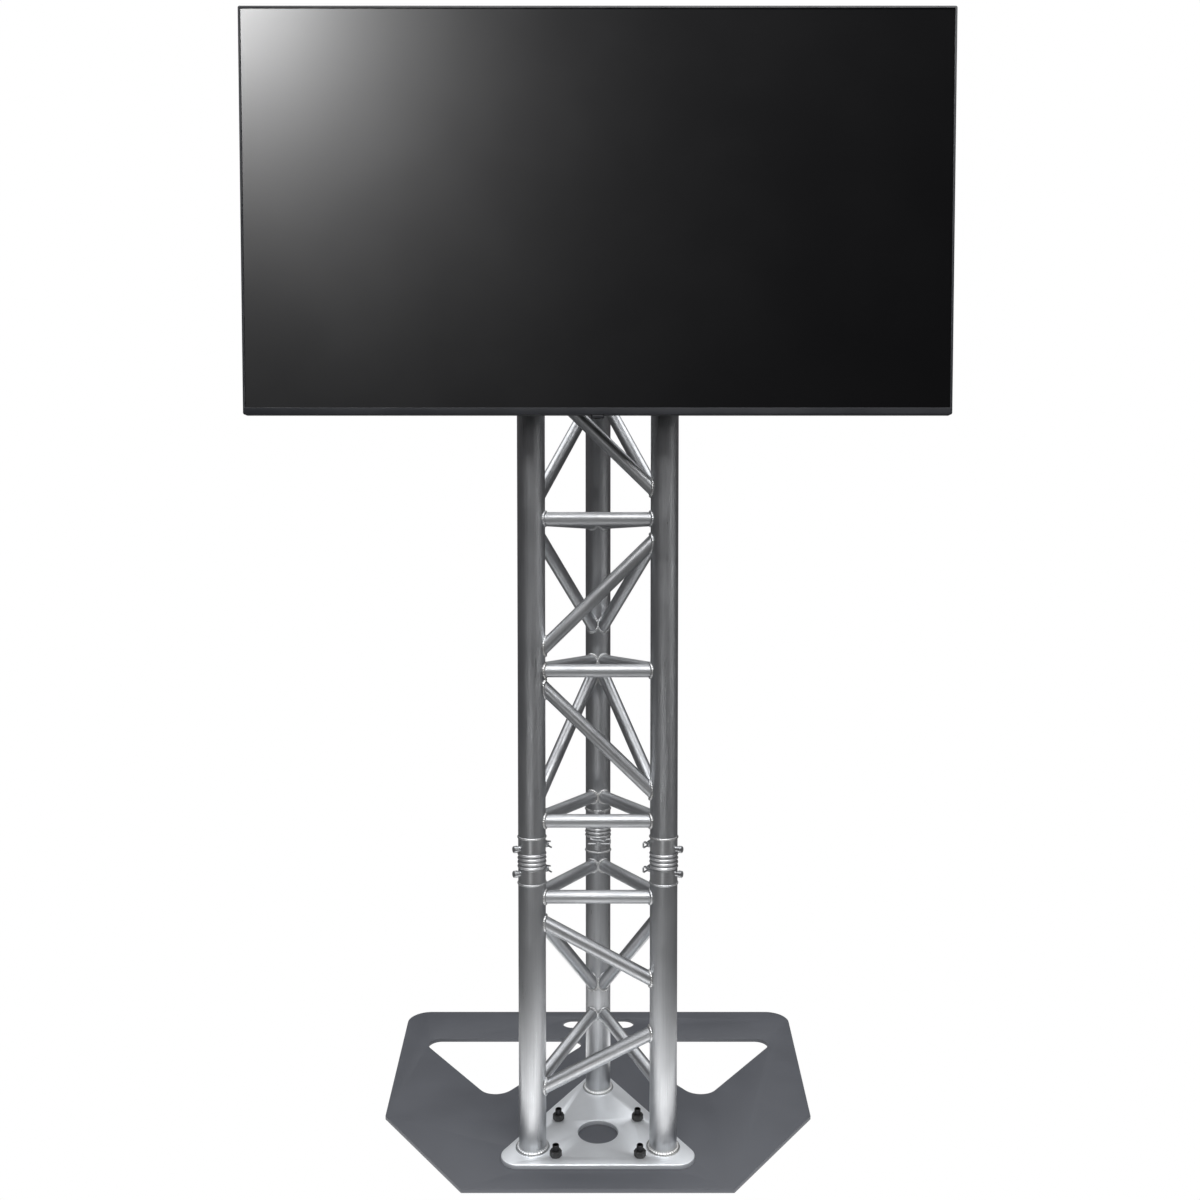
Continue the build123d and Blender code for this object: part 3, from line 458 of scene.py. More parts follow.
def weld_ring(shape, placing, radius, bead, pitch, chance, seat=None):
    """Add a closed ring of overlapping weld coins; seat gives its shift along the local Z at each angle."""
    coins = max(8, round(TAU * radius / pitch))
    cut = placing @ Matrix.Translation((radius, 0, 0)) @ Matrix.Rotation(math.pi / 2, 4, "X")
    before = len(shape.verts)
    made = bmesh.ops.create_circle(shape, segments=8, radius=bead, matrix=cut)
    edges = {edge for vert in made["verts"] for edge in vert.link_edges}
    bmesh.ops.spin(
        shape, geom=list(made["verts"]) + list(edges), cent=placing.translation, axis=placing.col[2].xyz,
        angle=TAU, steps=coins * 4, use_merge=True,
    )
    shape.verts.ensure_lookup_table()
    back = placing.inverted()
    phase = chance.uniform(0, TAU)
    for vert in shape.verts[before:]:
        spot = back @ vert.co
        angle = math.atan2(spot.y, spot.x)
        core = Vector((radius * math.cos(angle), radius * math.sin(angle), 0))
        lobe = abs(math.sin(coins * angle / 2 + phase)) ** 0.7
        swell = 0.84 + 0.26 * lobe + 0.05 * math.sin(3 * angle + phase)
        core_to_skin = (spot - core) * swell
        lift = Vector((0, 0, seat(angle) if seat else 0.0))
        vert.co = placing @ (core + core_to_skin + lift)


def islands(node):
    """The separate solids of a CAD node, each as a list of points."""
    shape = bmesh.new()
    shape.from_mesh(frame["nodes"][node].data)
    bmesh.ops.remove_doubles(shape, verts=shape.verts, dist=1e-6)
    left, found = set(shape.verts), []
    while left:
        edge_of_island, island = [left.pop()], []
        while edge_of_island:
            vert = edge_of_island.pop()
            island.append(vert.co.copy())
            for link in vert.link_edges:
                other = link.other_vert(vert)
                if other in left:
                    left.remove(other)
                    edge_of_island.append(other)
        found.append(island)
    shape.free()
    return found


def brace_ends(node):
    """For each end of each brace in a node: the chord's axis, the point where the brace's axis meets the chord's
    skin, and the direction in which the brace leaves."""
    ends = []
    for island in islands(node):
        touches = {}
        for name, axis in chord_axis.items():
            near = [p for p in island if abs((p - axis).xy.length - CHORD_RADIUS) < 0.3 * MM]
            if near:
                heights = [p.z for p in near]
                touches[name] = (min(heights) + max(heights)) / 2
        (first, first_z), (second, second_z) = touches.items()
        for here, here_z, there, there_z in ((first, first_z, second, second_z), (second, second_z, first, first_z)):
            level = (chord_axis[there] - chord_axis[here]).normalized()
            near_point = chord_axis[here] + level * CHORD_RADIUS + Vector((0, 0, here_z))
            far_point = chord_axis[there] - level * CHORD_RADIUS + Vector((0, 0, there_z))
            ends.append((level, near_point, (far_point - near_point).normalized()))
    return ends


def brace_weld(shape, level, point, leaving, bead, pitch, chance):
    """A bead that follows the line where a round brace meets the round chord."""
    side = Vector((0, 0, 1)).cross(level).normalized()
    up = leaving.cross(side)
    reach = leaving.dot(level)
    slope = up.dot(level)
    start = point - leaving * (CHORD_RADIUS / reach)
    mean = CHORD_RADIUS / reach
    placing = Matrix((side, up, leaving)).transposed().to_4x4()
    placing.translation = start + leaving * mean

    def seat(angle):
        across, along = BRACE_RADIUS * math.cos(angle), BRACE_RADIUS * math.sin(angle)
        return (math.sqrt(CHORD_RADIUS**2 - across**2) - along * slope) / reach - mean

    weld_ring(shape, placing, BRACE_RADIUS, bead, pitch, chance, seat)


# ---------------------------------------------------------------- operators
class OBJECT_OT_truss_finishes(bpy.types.Operator):
    """Build every finish and put it on the CAD nodes that stay in view"""

    bl_idname = "object.truss_finishes"
    bl_label = "Finishes"

    def execute(self, context):
        colours = context.scene.truss_finish
        drawn_lines_group()
        fine_grain_group()
        tube = colours.aluminium
        black = colours.black
        made = {
            "chord_tube": drawn_aluminium("chord_tube", (0, 0, 1), tube),
            "front_rung_tube": drawn_aluminium("front_rung_tube", (1, 0, 0), tube, 0.38, 900.0, 0.5),
            "left_rung_tube": drawn_aluminium("left_rung_tube", (0.5, 0.866, 0), tube, 0.38, 900.0, 0.5),
            "right_rung_tube": drawn_aluminium("right_rung_tube", (-0.5, 0.866, 0), tube, 0.38, 900.0, 0.5),
            "diagonal_tube": drawn_aluminium("diagonal_tube", (0, 0, 1), tube, 0.32, 260.0, 0.3),
            "turned_sleeve": drawn_aluminium("turned_sleeve", (1, 0, 0), colours.machined, 0.26, 500.0, 0.1),
            "bright_ridge": plain_metal("bright_ridge", (0.86, 0.865, 0.875, 1), 0.30, 0.10, 900.0, 0.05),
            "mill_plate": plain_metal("mill_plate", (0.93, 0.955, 0.98, 1), 0.36, 0.10, 500.0, 0.05, 0.7),
            "zinc_steel": plain_metal("zinc_steel", (0.60, 0.61, 0.62, 1), 0.28, 0.12, 1200.0, 0.06),
            "weld_bead": weld_metal("weld_bead", (0.66, 0.67, 0.68, 1)),
            "black_oxide": plain_metal("black_oxide", (0.03, 0.03, 0.032, 1), 0.42, 0.12, 1500.0, 0.12, 0.6),
            "floor_coat": coating("floor_coat", colours.floor_paint, 0.55, 900.0, 0.25, 0.05),
            "bracket_coat": coating("bracket_coat", black, 0.55, 1500.0, 0.55, 0.12),
            "cover_plastic": coating("cover_plastic", black, 0.50, 2200.0, 0.45, 0.10),
            "bezel_plastic": coating("bezel_plastic", (0.018, 0.0195, 0.024, 1), 0.36, 3000.0, 0.10, 0.03),
            "knob_plastic": coating("knob_plastic", black, 0.45, 1800.0, 0.3, 0.1),
            # Near-black painted shade for the floors of the vent slots and the sockets; it stands for the darkness of
            # their depth.
            "painted_recess_shade": coating("painted_recess_shade", (0.002, 0.002, 0.002, 1), 0.8, 1500.0, 0.2, 0.0),
            "screen_front": screen_glass("screen_front"),
            "board_lacquer": coating("board_lacquer", (0.02, 0.10, 0.04, 1), 0.35, 800.0, 0.2, 0.0),
            "diffuser_sheet": coating("diffuser_sheet", (0.8, 0.8, 0.78, 1), 0.45, 800.0, 0.05, 0.0),
        }
        wanted = {
            "satin_aluminium": "chord_tube", "machined_aluminium": "turned_sleeve", "mill_plate": "mill_plate",
            "floor_paint": "floor_coat", "black_oxide": "black_oxide", "zinc_steel": "zinc_steel",
            "bracket_paint": "bracket_coat", "knob_plastic": "knob_plastic", "bezel_black": "bezel_plastic",
            "screen_glass": "screen_front", "diffuser": "diffuser_sheet", "cover_black": "cover_plastic",
            "board_green": "board_lacquer",
        }
        for part in frame["record"]["subparts"]:
            node, slot = part["node"], part["material_slot"]
            key = wanted[slot]
            if node.endswith("_diagonals"):
                key = "diagonal_tube"
            elif node.endswith("_rungs"):
                side = node.split("_")[1] if node.startswith("upper") else "front"
                key = f"{side}_rung_tube"
            mesh = frame["nodes"][node].data
            mesh.materials.clear()
            mesh.materials.append(made[key])
        return {"FINISHED"}


class OBJECT_OT_truss_brace_welds(bpy.types.Operator):
    """Lay a rippled bead around both ends of every brace"""

    bl_idname = "object.truss_brace_welds"
    bl_label = "Brace welds"

    def execute(self, context):
        sizes = context.scene.truss_welds
        chance = random.Random(sizes.seed)
        for node in sorted(frame["nodes"]):
            if not node.endswith(("_rungs", "_diagonals")):
                continue
            shape = bmesh.new()
            for level, point, leaving in brace_ends(node):
                brace_weld(shape, level, point, leaving, sizes.brace_bead, sizes.coin_pitch, chance)
            finish_piece(f"{node}_welds", shape, bpy.data.materials["weld_bead"], STAND, "satin_aluminium", crease=80)
        return {"FINISHED"}


class OBJECT_OT_truss_chord_welds(bpy.types.Operator):
    """Lay the beads round the chords: at each sleeve and at each foot"""

    bl_idname = "object.truss_chord_welds"
    bl_label = "Chord welds"

    def execute(self, context):
        sizes = context.scene.truss_welds
        chance = random.Random(sizes.seed + 1)
        for place, height in tower_heights.items():
            foot = place == "foot"
            bead = sizes.foot_bead if foot else sizes.sleeve_bead
            radius = CHORD_RADIUS + (1.4 * MM if foot else -0.3 * MM)
            rise = 0.6 * MM if foot else 0.0
            shape = bmesh.new()
            for axis in chord_axis.values():
                placing = Matrix.Translation(axis + Vector((0, 0, height + rise)))
                weld_ring(shape, placing, radius, bead, sizes.coin_pitch * (1.5 if foot else 1.0), chance)
            finish_piece(f"{place}_welds" if foot else f"{place}s", shape, bpy.data.materials["weld_bead"], STAND,
                         "satin_aluminium", crease=80)
        return {"FINISHED"}


def threaded_rod(shape, base, radius, height, pitch, depth):
    """A rod with thread crests, spun from its outline; it stands on base."""
    outline = [shape.verts.new(base + Vector((0, 0, 0))), shape.verts.new(base + Vector((radius, 0, 0)))]
    turns = int((height - pitch) / pitch)
    for turn in range(turns):
        foot = turn * pitch
        outline.append(shape.verts.new(base + Vector((radius, 0, foot + 0.15 * pitch))))
        outline.append(shape.verts.new(base + Vector((radius - depth, 0, foot + 0.5 * pitch))))
        outline.append(shape.verts.new(base + Vector((radius, 0, foot + 0.85 * pitch))))
    outline.append(shape.verts.new(base + Vector((radius - depth, 0, height))))
    outline.append(shape.verts.new(base + Vector((0, 0, height))))
    edges = [shape.edges.new(pair) for pair in zip(outline, outline[1:])]
    bmesh.ops.spin(shape, geom=outline + edges, cent=base, axis=(0, 0, 1), angle=TAU, steps=24, use_merge=True)
    bmesh.ops.remove_doubles(shape, verts=shape.verts, dist=1e-6)
    bmesh.ops.recalc_face_normals(shape, faces=shape.faces)


def hexagon_nut(shape, base, flats, height, hole, washer_face, corner_cut):
    """A hexagon nut with a round washer face and cut corners, standing on base."""
    across = flats / 2
    corners = flats / math.sqrt(3)
    sides = 48
    levels = ((0.0, across, 0.0), (washer_face, across, 0.0), (washer_face, corners, 1.0),
              (height - corner_cut / 2, corners, 1.0), (height, corners - corner_cut, 1.0))
    loops = []
    for rise, reach, hexed in levels:
        made = bmesh.ops.create_circle(
            shape, segments=sides, radius=reach, matrix=Matrix.Translation(base + Vector((0, 0, rise)))
        )
        for vert in made["verts"]:
            out = vert.co - base
            angle = math.atan2(out.y, out.x) % (math.pi / 3) - math.pi / 6
            flat_reach = across / math.cos(angle)
            if hexed and out.xy.length > flat_reach:
                scale = flat_reach / out.xy.length
                vert.co = base + Vector((out.x * scale, out.y * scale, out.z))
        loops.append(list({edge for vert in made["verts"] for edge in vert.link_edges}))
    bore = []
    for rise in (height - 0.4 * MM, 0.0):
        made = bmesh.ops.create_circle(
            shape, segments=sides, radius=hole, matrix=Matrix.Translation(base + Vector((0, 0, rise)))
        )
        bore.append(list({edge for vert in made["verts"] for edge in vert.link_edges}))
    chain = [*loops, *bore, loops[0]]
    for first, second in zip(chain, chain[1:]):
        bmesh.ops.bridge_loops(shape, edges=first + second)
    bmesh.ops.recalc_face_normals(shape, faces=shape.faces)


class OBJECT_OT_truss_sleeve_ridges(bpy.types.Operator):
    """Turn a round ridge on each land between the sleeves' grooves"""

    bl_idname = "object.truss_sleeve_ridges"
    bl_label = "Sleeve ridges"

    def execute(self, context):
        sizes = context.scene.truss_ridges
        shape = bmesh.new()
        for axis in chord_axis.values():
            for step in range(sizes.count):
                rise = (step - (sizes.count - 1) / 2) * sizes.pitch
                placing = Matrix.Translation(axis + Vector((0, 0, JOINT_HEIGHT + rise)))
                smooth_ring(shape, placing, CHORD_RADIUS + sizes.stand_off - sizes.round, sizes.round)
        finish_piece("sleeve_ridges", shape, bpy.data.materials["bright_ridge"], STAND, "machined_aluminium", crease=80)
        return {"FINISHED"}


class OBJECT_OT_truss_base_fasteners(bpy.types.Operator):
    """Replace the base's plain nuts with chamfered ones and lay threaded studs over the plain ones"""

    bl_idname = "object.truss_base_fasteners"
    bl_label = "Base fasteners"

    def execute(self, context):
        sizes = context.scene.truss_fasteners
        black = bpy.data.materials["black_oxide"]
        nut_low, nut_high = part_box("base_nuts")
        bolt_low, bolt_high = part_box("base_bolts")
        nuts, rods = bmesh.new(), bmesh.new()
        for island in islands("base_nuts"):
            xs, ys = [p.x for p in island], [p.y for p in island]
            centre = Vector(((min(xs) + max(xs)) / 2, (min(ys) + max(ys)) / 2, nut_low.z))
            flats = min(max(xs) - min(xs), max(ys) - min(ys))
            radius = min((p - centre).xy.length for p in island) - 0.05 * MM
            one_nut = bmesh.new()
            hexagon_nut(one_nut, centre, flats, nut_high.z - nut_low.z, radius, sizes.washer_face, sizes.corner_cut)
            one_rod = bmesh.new()
            foot = Vector((centre.x, centre.y, nut_low.z + 2 * MM))
            threaded_rod(one_rod, foot, radius, bolt_high.z - foot.z, sizes.thread_pitch, sizes.thread_depth)
            for whole, single in ((nuts, one_nut), (rods, one_rod)):
                mesh = bpy.data.meshes.new("one_fastener")
                single.to_mesh(mesh)
                single.free()
                whole.from_mesh(mesh)
                bpy.data.meshes.remove(mesh)
        finish_piece("base_lock_nuts", nuts, black, STAND, "black_oxide", ("base_nuts",), crease=28)
        finish_piece("base_stud_threads", rods, black, STAND, "black_oxide", crease=50)
        return {"FINISHED"}


class OBJECT_OT_truss_display_front(bpy.types.Operator):
    """Build the display's bezel, with a hole round the power button"""

    bl_idname = "object.truss_display_front"
    bl_label = "Display front"

    def execute(self, context):
        sizes = context.scene.truss_display
        low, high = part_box("bezel")
        side_lip, bottom_lip = 3.5 * MM, 11.5 * MM
        wall = 1.5 * MM
        shape = bmesh.new()
        turn = Matrix.Translation(((low.x + high.x) / 2, low.y, (low.z + high.z) / 2)) @ Matrix.Rotation(
            math.pi / 2, 4, "X"
        ) @ Matrix.Diagonal(((high.x - low.x) / 2, (high.z - low.z) / 2, 1, 1))
        bmesh.ops.create_grid(shape, x_segments=1, y_segments=1, size=1, matrix=turn)
        face = next(iter(shape.faces))
        bmesh.ops.inset_region(
            shape, faces=[face], thickness=side_lip, use_even_offset=True, use_boundary=True
        )
        for vert in face.verts:
            if vert.co.z < turn.translation.z:
                vert.co.z += bottom_lip - side_lip
        bmesh.ops.delete(shape, geom=[face], context="FACES_ONLY")
        outer = [e for e in shape.edges if e.is_boundary and all(abs(v.co.x) > high.x - 0.1 * MM for v in e.verts)]
        grown = bmesh.ops.extrude_edge_only(shape, edges=outer)
        for item in grown["geom"]:
            if isinstance(item, bmesh.types.BMVert):
                item.co.y = high.y
        inner = [e for e in shape.edges if e.is_boundary and all(abs(v.co.x) < high.x - 0.1 * MM for v in e.verts)]
        grown = bmesh.ops.extrude_edge_only(shape, edges=inner)
        for item in grown["geom"]:
            if isinstance(item, bmesh.types.BMVert):
                item.co.y = low.y + wall
        bmesh.ops.recalc_face_normals(shape, faces=shape.faces)
        corner_edges = [
            e for e in shape.edges
            if all(abs(v.co.x) > high.x - 0.1 * MM for v in e.verts) and abs(e.verts[0].co.y - e.verts[1].co.y) > wall
        ]
        bmesh.ops.bevel(shape, geom=corner_edges, offset=3 * MM, offset_type="OFFSET", affect="EDGES", segments=5,
                        profile=0.5, material=-1)
        rim = [
            e for e in shape.edges
            if all(v.co.y < low.y + 1e-6 for v in e.verts) and e.calc_face_angle(0) > 0.5
        ]
        bmesh.ops.bevel(shape, geom=rim, offset=0.5 * MM, offset_type="OFFSET", affect="EDGES", segments=3,
                        profile=0.5, material=-1)
        button_low, button_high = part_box("power_button")
        cuts = (
            ((button_low.x - sizes.button_gap, 0, 0), (1, 0, 0)), ((button_high.x + sizes.button_gap, 0, 0), (1, 0, 0)),
            ((0, button_low.y - sizes.button_gap, 0), (0, 1, 0)), ((0, button_high.y + sizes.button_gap, 0), (0, 1, 0)),
        )
        for place, direction in cuts:
            floor = [f for f in shape.faces if all(abs(v.co.z - low.z) < 1e-5 for v in f.verts)]
            geom = floor + list({e for f in floor for e in f.edges}) + list({v for f in floor for v in f.verts})
            bmesh.ops.bisect_plane(shape, geom=geom, plane_co=place, plane_no=direction)
        hole = [f for f in shape.faces if abs(f.calc_center_median().z - low.z) < 1e-5
                and button_low.x < f.calc_center_median().x < button_high.x
                and button_low.y < f.calc_center_median().y < button_high.y]
        bmesh.ops.delete(shape, geom=hole, context="FACES")
        finish_piece("display_bezel", shape, bpy.data.materials["bezel_plastic"], "display", "bezel_black", ("bezel",))
        return {"FINISHED"}


def slotted_field(shape, centre, width, height, count, depth):
    """A raised field of upright slots on the display's back. Its slot floors take the second material, a near-black
    painted shade that stands for the depth of the slots.
    """
    field = bmesh.new()
    turn = Matrix.Translation(centre) @ Matrix.Rotation(-math.pi / 2, 4, "X") @ Matrix.Diagonal(
        (width / 2, height / 2, 1, 1)
    )
    bmesh.ops.create_grid(field, x_segments=count, y_segments=1, size=1, matrix=turn)
    rim = [edge for edge in field.edges if edge.is_boundary]
    slots = list(field.faces)
    pitch = width / count
    bmesh.ops.inset_individual(field, faces=slots, thickness=pitch * 0.27, depth=0, use_even_offset=True)
    bmesh.ops.inset_individual(field, faces=slots, thickness=0.1 * MM, depth=-depth, use_even_offset=True)
    # The slot floors take the near-black painted shade.
    for face in slots:
        face.material_index = 1
    grown = bmesh.ops.extrude_edge_only(field, edges=rim)
    skirt = [item for item in grown["geom"] if isinstance(item, bmesh.types.BMVert)]
    for vert in skirt:
        vert.co.y = centre.y - depth - 0.2 * MM
        vert.co.x += math.copysign(depth, vert.co.x - centre.x)
        vert.co.z += math.copysign(depth, vert.co.z - centre.z)
    mesh = bpy.data.meshes.new("field")
    field.to_mesh(mesh)
    field.free()
    shape.from_mesh(mesh)
    bpy.data.meshes.remove(mesh)


def screw_head(shape, centre, radius, rise, toward):
    """A domed screw head with a cross recess left as a shallow dimple."""
    turn = Matrix.Translation(centre) @ Vector(toward).to_track_quat("Z", "Y").to_matrix().to_4x4()
    rows = ((1.0, 0.0), (1.0, 0.45), (0.82, 0.85), (0.45, 1.0), (0.36, 0.55), (0.0, 0.45))
    outline = [shape.verts.new(turn @ Vector((radius * reach, 0, rise * level))) for reach, level in rows]
    edges = [shape.edges.new(pair) for pair in zip(outline, outline[1:])]
    axis = turn.to_3x3() @ Vector((0, 0, 1))
    bmesh.ops.spin(shape, geom=outline + edges, cent=centre, axis=axis, angle=TAU, steps=20, use_merge=True)


class OBJECT_OT_truss_display_back(bpy.types.Operator):
    """Add the rows of vents and the screws to the display's rear cover"""

    bl_idname = "object.truss_display_back"
    bl_label = "Display back"

    def execute(self, context):
        sizes = context.scene.truss_display
        low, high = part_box("rear_cover")
        centre = (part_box("bezel")[0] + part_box("bezel")[1]) / 2
        plastic = bpy.data.materials["cover_plastic"]
        vents = bmesh.new()
        proud = sizes.vent_depth
        for x, z, width, height in (
            (-0.215, 0.150 + 0.012, 0.38, 0.022), (0.215, 0.150 + 0.012, 0.38, 0.022),
            (-0.310, -0.235, 0.20, 0.018), (0.310, -0.235, 0.20, 0.018),
        ):
            slots = round(sizes.vent_count * width / 0.38)
            slotted_field(vents, Vector((x, high.y + proud, centre.z + z)), width, height, slots, proud)
        piece = finish_piece("cover_vents", vents, plastic, "display", "cover_black")
        # Second material: the painted shade on the slot floors.
        piece.data.materials.append(bpy.data.materials["painted_recess_shade"])
        screws = bmesh.new()
        for x, z in ((-0.41, 0.165), (0.41, 0.165), (-0.41, -0.25), (0.41, -0.25), (-0.20, -0.25), (0.20, -0.25)):
            screw_head(screws, Vector((x, high.y, centre.z + z)), 4.2 * MM, 1.5 * MM, (0, 1, 0))
        flange = low.y + 2 * MM
        for x in (-0.56, -0.50, 0.50, 0.56):
            for z in (-0.30, 0.0, 0.30):
                if abs(x) > 0.55 or z:
                    screw_head(screws, Vector((x, flange, centre.z + z)), 3.4 * MM, 1.2 * MM, (0, 1, 0))
        finish_piece("cover_screws", screws, bpy.data.materials["black_oxide"], "display", "cover_black")
        self.ports(high, centre, plastic)
        return {"FINISHED"}

    def ports(self, high, centre, plastic):
        """A raised bay of sockets beside the bracket, each with a metal shell and a near-black painted shade on its
        floor that stands for the socket's depth.
        """
        bay = bmesh.new()
        middle = Vector((0.335, high.y, centre.z - 0.08))
        for rise, width, height in ((0.8 * MM, 0.060, 0.150),):
            turn = Matrix.Translation(middle + Vector((0, rise, 0))) @ Matrix.Rotation(-math.pi / 2, 4, "X")
            bmesh.ops.create_grid(bay, x_segments=1, y_segments=6, size=1,
                                  matrix=turn @ Matrix.Diagonal((width / 2, height / 2, 1, 1)))
            rim = [edge for edge in bay.edges if edge.is_boundary]
            sockets = list(bay.faces)
            bmesh.ops.inset_individual(bay, faces=sockets, thickness=5.0 * MM, depth=0, use_even_offset=True)
            for face in sockets:
                face.material_index = 1
            bmesh.ops.inset_individual(bay, faces=sockets, thickness=1.2 * MM, depth=0.3 * MM, use_even_offset=True)
            # The socket floors take the third material, the painted shade.
            for face in sockets:
                face.material_index = 2
            bmesh.ops.inset_individual(bay, faces=sockets, thickness=0.2 * MM, depth=-0.9 * MM, use_even_offset=True)
            grown = bmesh.ops.extrude_edge_only(bay, edges=rim)
            for item in grown["geom"]:
                if isinstance(item, bmesh.types.BMVert):
                    item.co.y = high.y - 0.1 * MM
        piece = finish_piece("socket_bay", bay, plastic, "display", "cover_black")
        piece.data.materials.append(bpy.data.materials["black_oxide"])
        # Third material: painted shade for the socket floors.
        piece.data.materials.append(bpy.data.materials["painted_recess_shade"])


class OBJECT_OT_truss_soft_edges(bpy.types.Operator):
    """Round the sharp edges of plates, brackets and knobs"""

    bl_idname = "object.truss_soft_edges"
    bl_label = "Soft edges"

    def execute(self, context):
        widths = {
            "floor_plate": 1.0, "base_plate": 0.5, "wall_plate": 0.7, "bracket_rails": 0.8, "clamp_saddles": 0.7,
            "tilt_plate": 0.5, "left_tilt_knob": 0.9, "right_tilt_knob": 0.9, "sensor_housing": 0.4,
        }
        for node, width in widths.items():
            softened(node, width * MM)
        return {"FINISHED"}


class OBJECT_OT_truss_stage(bpy.types.Operator):
    """Set out the pale floor, the soft lights and the camera"""

    bl_idname = "object.truss_stage"
    bl_label = "Stage"

    def execute(self, context):
        stage = context.scene.truss_stage
        self.floor(stage)
        self.sky(context)
        self.lights()
        self.camera(context, stage)
        context.scene.view_settings.view_transform = "Standard"
        context.scene.view_settings.look = "None"
        return {"FINISHED"}

    def floor(self, stage):
        shape = bmesh.new()
        bmesh.ops.create_grid(shape, x_segments=1, y_segments=1, size=stage.floor_size / 2)
        mesh = bpy.data.meshes.new("studio_floor")
        shape.to_mesh(mesh)
        shape.free()
        floor = bpy.data.objects.new("studio_floor", mesh)
        bpy.context.scene.collection.objects.link(floor)
        material, tree, shader, place = new_material("studio_floor")
        shader.inputs["Base Color"].default_value = (0.10, 0.10, 0.10, 1)
        shader.inputs["Roughness"].default_value = 0.9
        # Painted pool of light: for all but camera rays the floor glows at strength 1.75 within 0.25 m of the middle
        # and fades to almost nothing by 0.8 m; the camera sees plain white.
        away = tree.nodes.new("ShaderNodeVectorMath")
        away.operation = "LENGTH"
        tree.links.new(place, away.inputs[0])
        glow = tree.nodes.new("ShaderNodeEmission")
        tree.links.new(ramp(tree, away.outputs["Value"], 0.25, 0.8, 1.75, 0.01), glow.inputs["Strength"])
        both = tree.nodes.new("ShaderNodeAddShader")
        tree.links.new(shader.outputs[0], both.inputs[0])
        tree.links.new(glow.outputs[0], both.inputs[1])
        seen = add(tree, "ShaderNodeEmission", Strength=1.0)
        path = tree.nodes.new("ShaderNodeLightPath")
        choice = tree.nodes.new("ShaderNodeMixShader")
        tree.links.new(path.outputs["Is Camera Ray"], choice.inputs[0])
        tree.links.new(both.outputs[0], choice.inputs[1])
        tree.links.new(seen.outputs[0], choice.inputs[2])
        tree.links.new(choice.outputs[0], tree.nodes["Material Output"].inputs["Surface"])
        mesh.materials.append(material)

    def sky(self, context):
        world = bpy.data.worlds.new("studio")
        context.scene.world = world
        world.use_nodes = True
        tree = world.node_tree
        output = tree.nodes["World Output"]
        direction = tree.nodes.new("ShaderNodeTexCoord").outputs["Generated"]
        parts = tree.nodes.new("ShaderNodeSeparateXYZ")
        tree.links.new(direction, parts.inputs[0])
        above = ramp(tree, parts.outputs["Z"], 0.45, 0.95, 0.0, 1.0)
        shade = blend(tree, above, (0.078, 0.076, 0.078, 1), (0.95, 0.97, 1.0, 1))
        seen = add(tree, "ShaderNodeBackground", Strength=1.0, Color=(1, 1, 1, 1))
        lit = tree.nodes["Background"]
        tree.links.new(shade, lit.inputs["Color"])
        path = tree.nodes.new("ShaderNodeLightPath")
        choice = tree.nodes.new("ShaderNodeMixShader")
        tree.links.new(path.outputs["Is Camera Ray"], choice.inputs[0])
        tree.links.new(lit.outputs[0], choice.inputs[1])
        tree.links.new(seen.outputs[0], choice.inputs[2])
        tree.links.new(choice.outputs[0], output.inputs["Surface"])

    def area_light(self, name, place, target, size, power):
        """A square soft light that looks at a target."""
        data = bpy.data.lights.new(name, "AREA")
        data.shape = "RECTANGLE"
        data.size, data.size_y = size
        data.energy = power
        light = bpy.data.objects.new(name, data)
        light.location = place
        light.rotation_euler = (Vector(target) - Vector(place)).to_track_quat("-Z", "Y").to_euler()
        bpy.context.scene.collection.objects.link(light)
        return light

    def lights(self):
        self.area_light("overhead_softbox", (0.0, 0.2, 4.2), (0, 0, 0), (4.5, 4.5), 105)
        self.area_light("front_low_strip", (-0.7, -3.4, 0.12), (0, 0, 0.02), (0.4, 0.25), 4)
        self.area_light("right_strip", (3.0, -1.6, 0.9), (0, 0, 0.7), (0.5, 1.6), 5)
        front = self.area_light("front_softbox", (0.2, -2.5, 3.3), (0, 0, 0.8), (3.0, 1.2), 70)
        dark = bpy.data.collections.new("not_lit_by_front_softbox")
        dark.objects.link(frame["nodes"]["screen_panel"])
        dark.collection_objects[0].light_linking.link_state = "EXCLUDE"
        front.light_linking.receiver_collection = dark
        glow = self.area_light("screen_glow", (-1.27, -1.42, 2.96), (-0.59, -0.19, 1.99), (0.42, 0.42), 290)
        lit = bpy.data.collections.new("lit_by_screen_glow")
        lit.objects.link(frame["nodes"]["screen_panel"])
        glow.light_linking.receiver_collection = lit

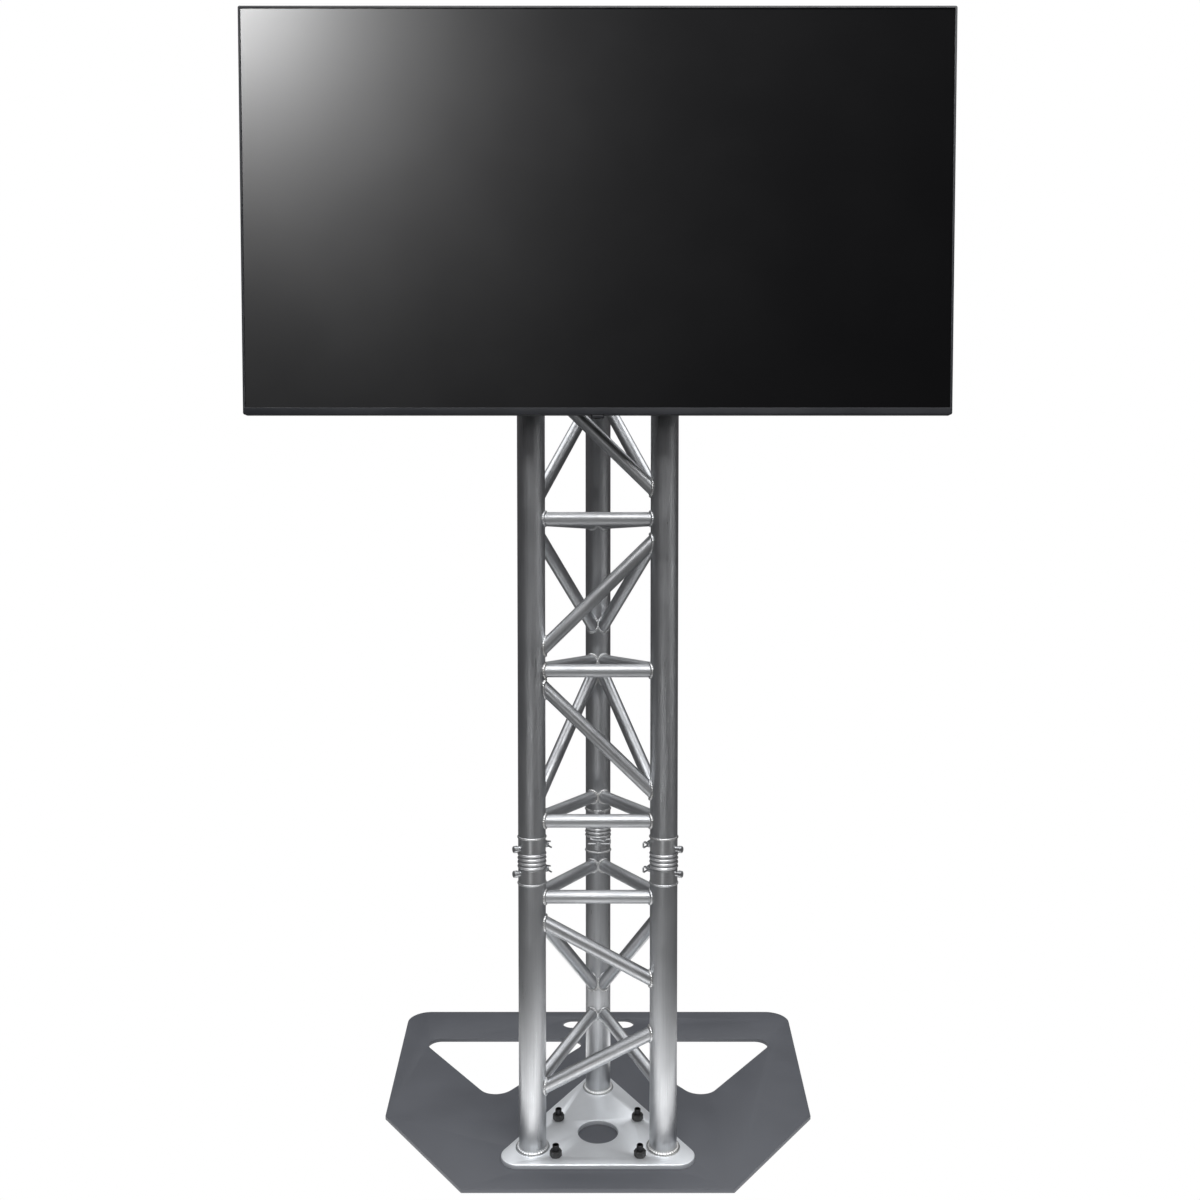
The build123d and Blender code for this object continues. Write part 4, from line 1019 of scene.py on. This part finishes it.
    def camera(self, context, stage):
        data = bpy.data.cameras.new("camera")
        data.lens = stage.lens
        data.sensor_width = 36
        data.clip_end = 100
        camera = bpy.data.objects.new("camera", data)
        camera.location = (stage.camera_shift, -stage.camera_distance, stage.camera_height)
        camera.rotation_euler = (math.pi / 2 - stage.camera_pitch, 0, 0)
        context.scene.collection.objects.link(camera)
        context.scene.camera = camera


class VIEW3D_PT_truss_tower(bpy.types.Panel):
    """Lists the steps that build the tower's looks"""

    bl_label = "Truss Tower"
    bl_idname = "VIEW3D_PT_truss_tower"
    bl_space_type = "VIEW_3D"
    bl_region_type = "UI"
    bl_category = "Truss Tower"

    def draw(self, context):
        for step in STEPS:
            self.layout.operator(step.bl_idname)


SETTINGS = {
    "truss_welds": WeldSettings,
    "truss_ridges": RidgeSettings,
    "truss_fasteners": FastenerSettings,
    "truss_display": DisplaySettings,
    "truss_finish": FinishSettings,
    "truss_stage": StageSettings,
}
STEPS = (
    OBJECT_OT_truss_finishes,
    OBJECT_OT_truss_brace_welds,
    OBJECT_OT_truss_chord_welds,
    OBJECT_OT_truss_sleeve_ridges,
    OBJECT_OT_truss_base_fasteners,
    OBJECT_OT_truss_display_front,
    OBJECT_OT_truss_display_back,
    OBJECT_OT_truss_soft_edges,
    OBJECT_OT_truss_stage,
)


def register():
    for kind in (*SETTINGS.values(), *STEPS, VIEW3D_PT_truss_tower):
        bpy.utils.register_class(kind)
    for name, kind in SETTINGS.items():
        setattr(bpy.types.Scene, name, PointerProperty(type=kind))


def unregister():
    for name in SETTINGS:
        delattr(bpy.types.Scene, name)
    for kind in (VIEW3D_PT_truss_tower, *reversed(STEPS), *reversed(SETTINGS.values())):
        bpy.utils.unregister_class(kind)


def main():
    register()
    bpy.ops.object.truss_finishes()
    bpy.ops.object.truss_brace_welds()
    bpy.ops.object.truss_chord_welds()
    bpy.ops.object.truss_sleeve_ridges()
    bpy.ops.object.truss_base_fasteners()
    bpy.ops.object.truss_display_front()
    bpy.ops.object.truss_display_back()
    bpy.ops.object.truss_soft_edges()
    bpy.ops.object.truss_stage()


if __name__ == "__main__":
    main()
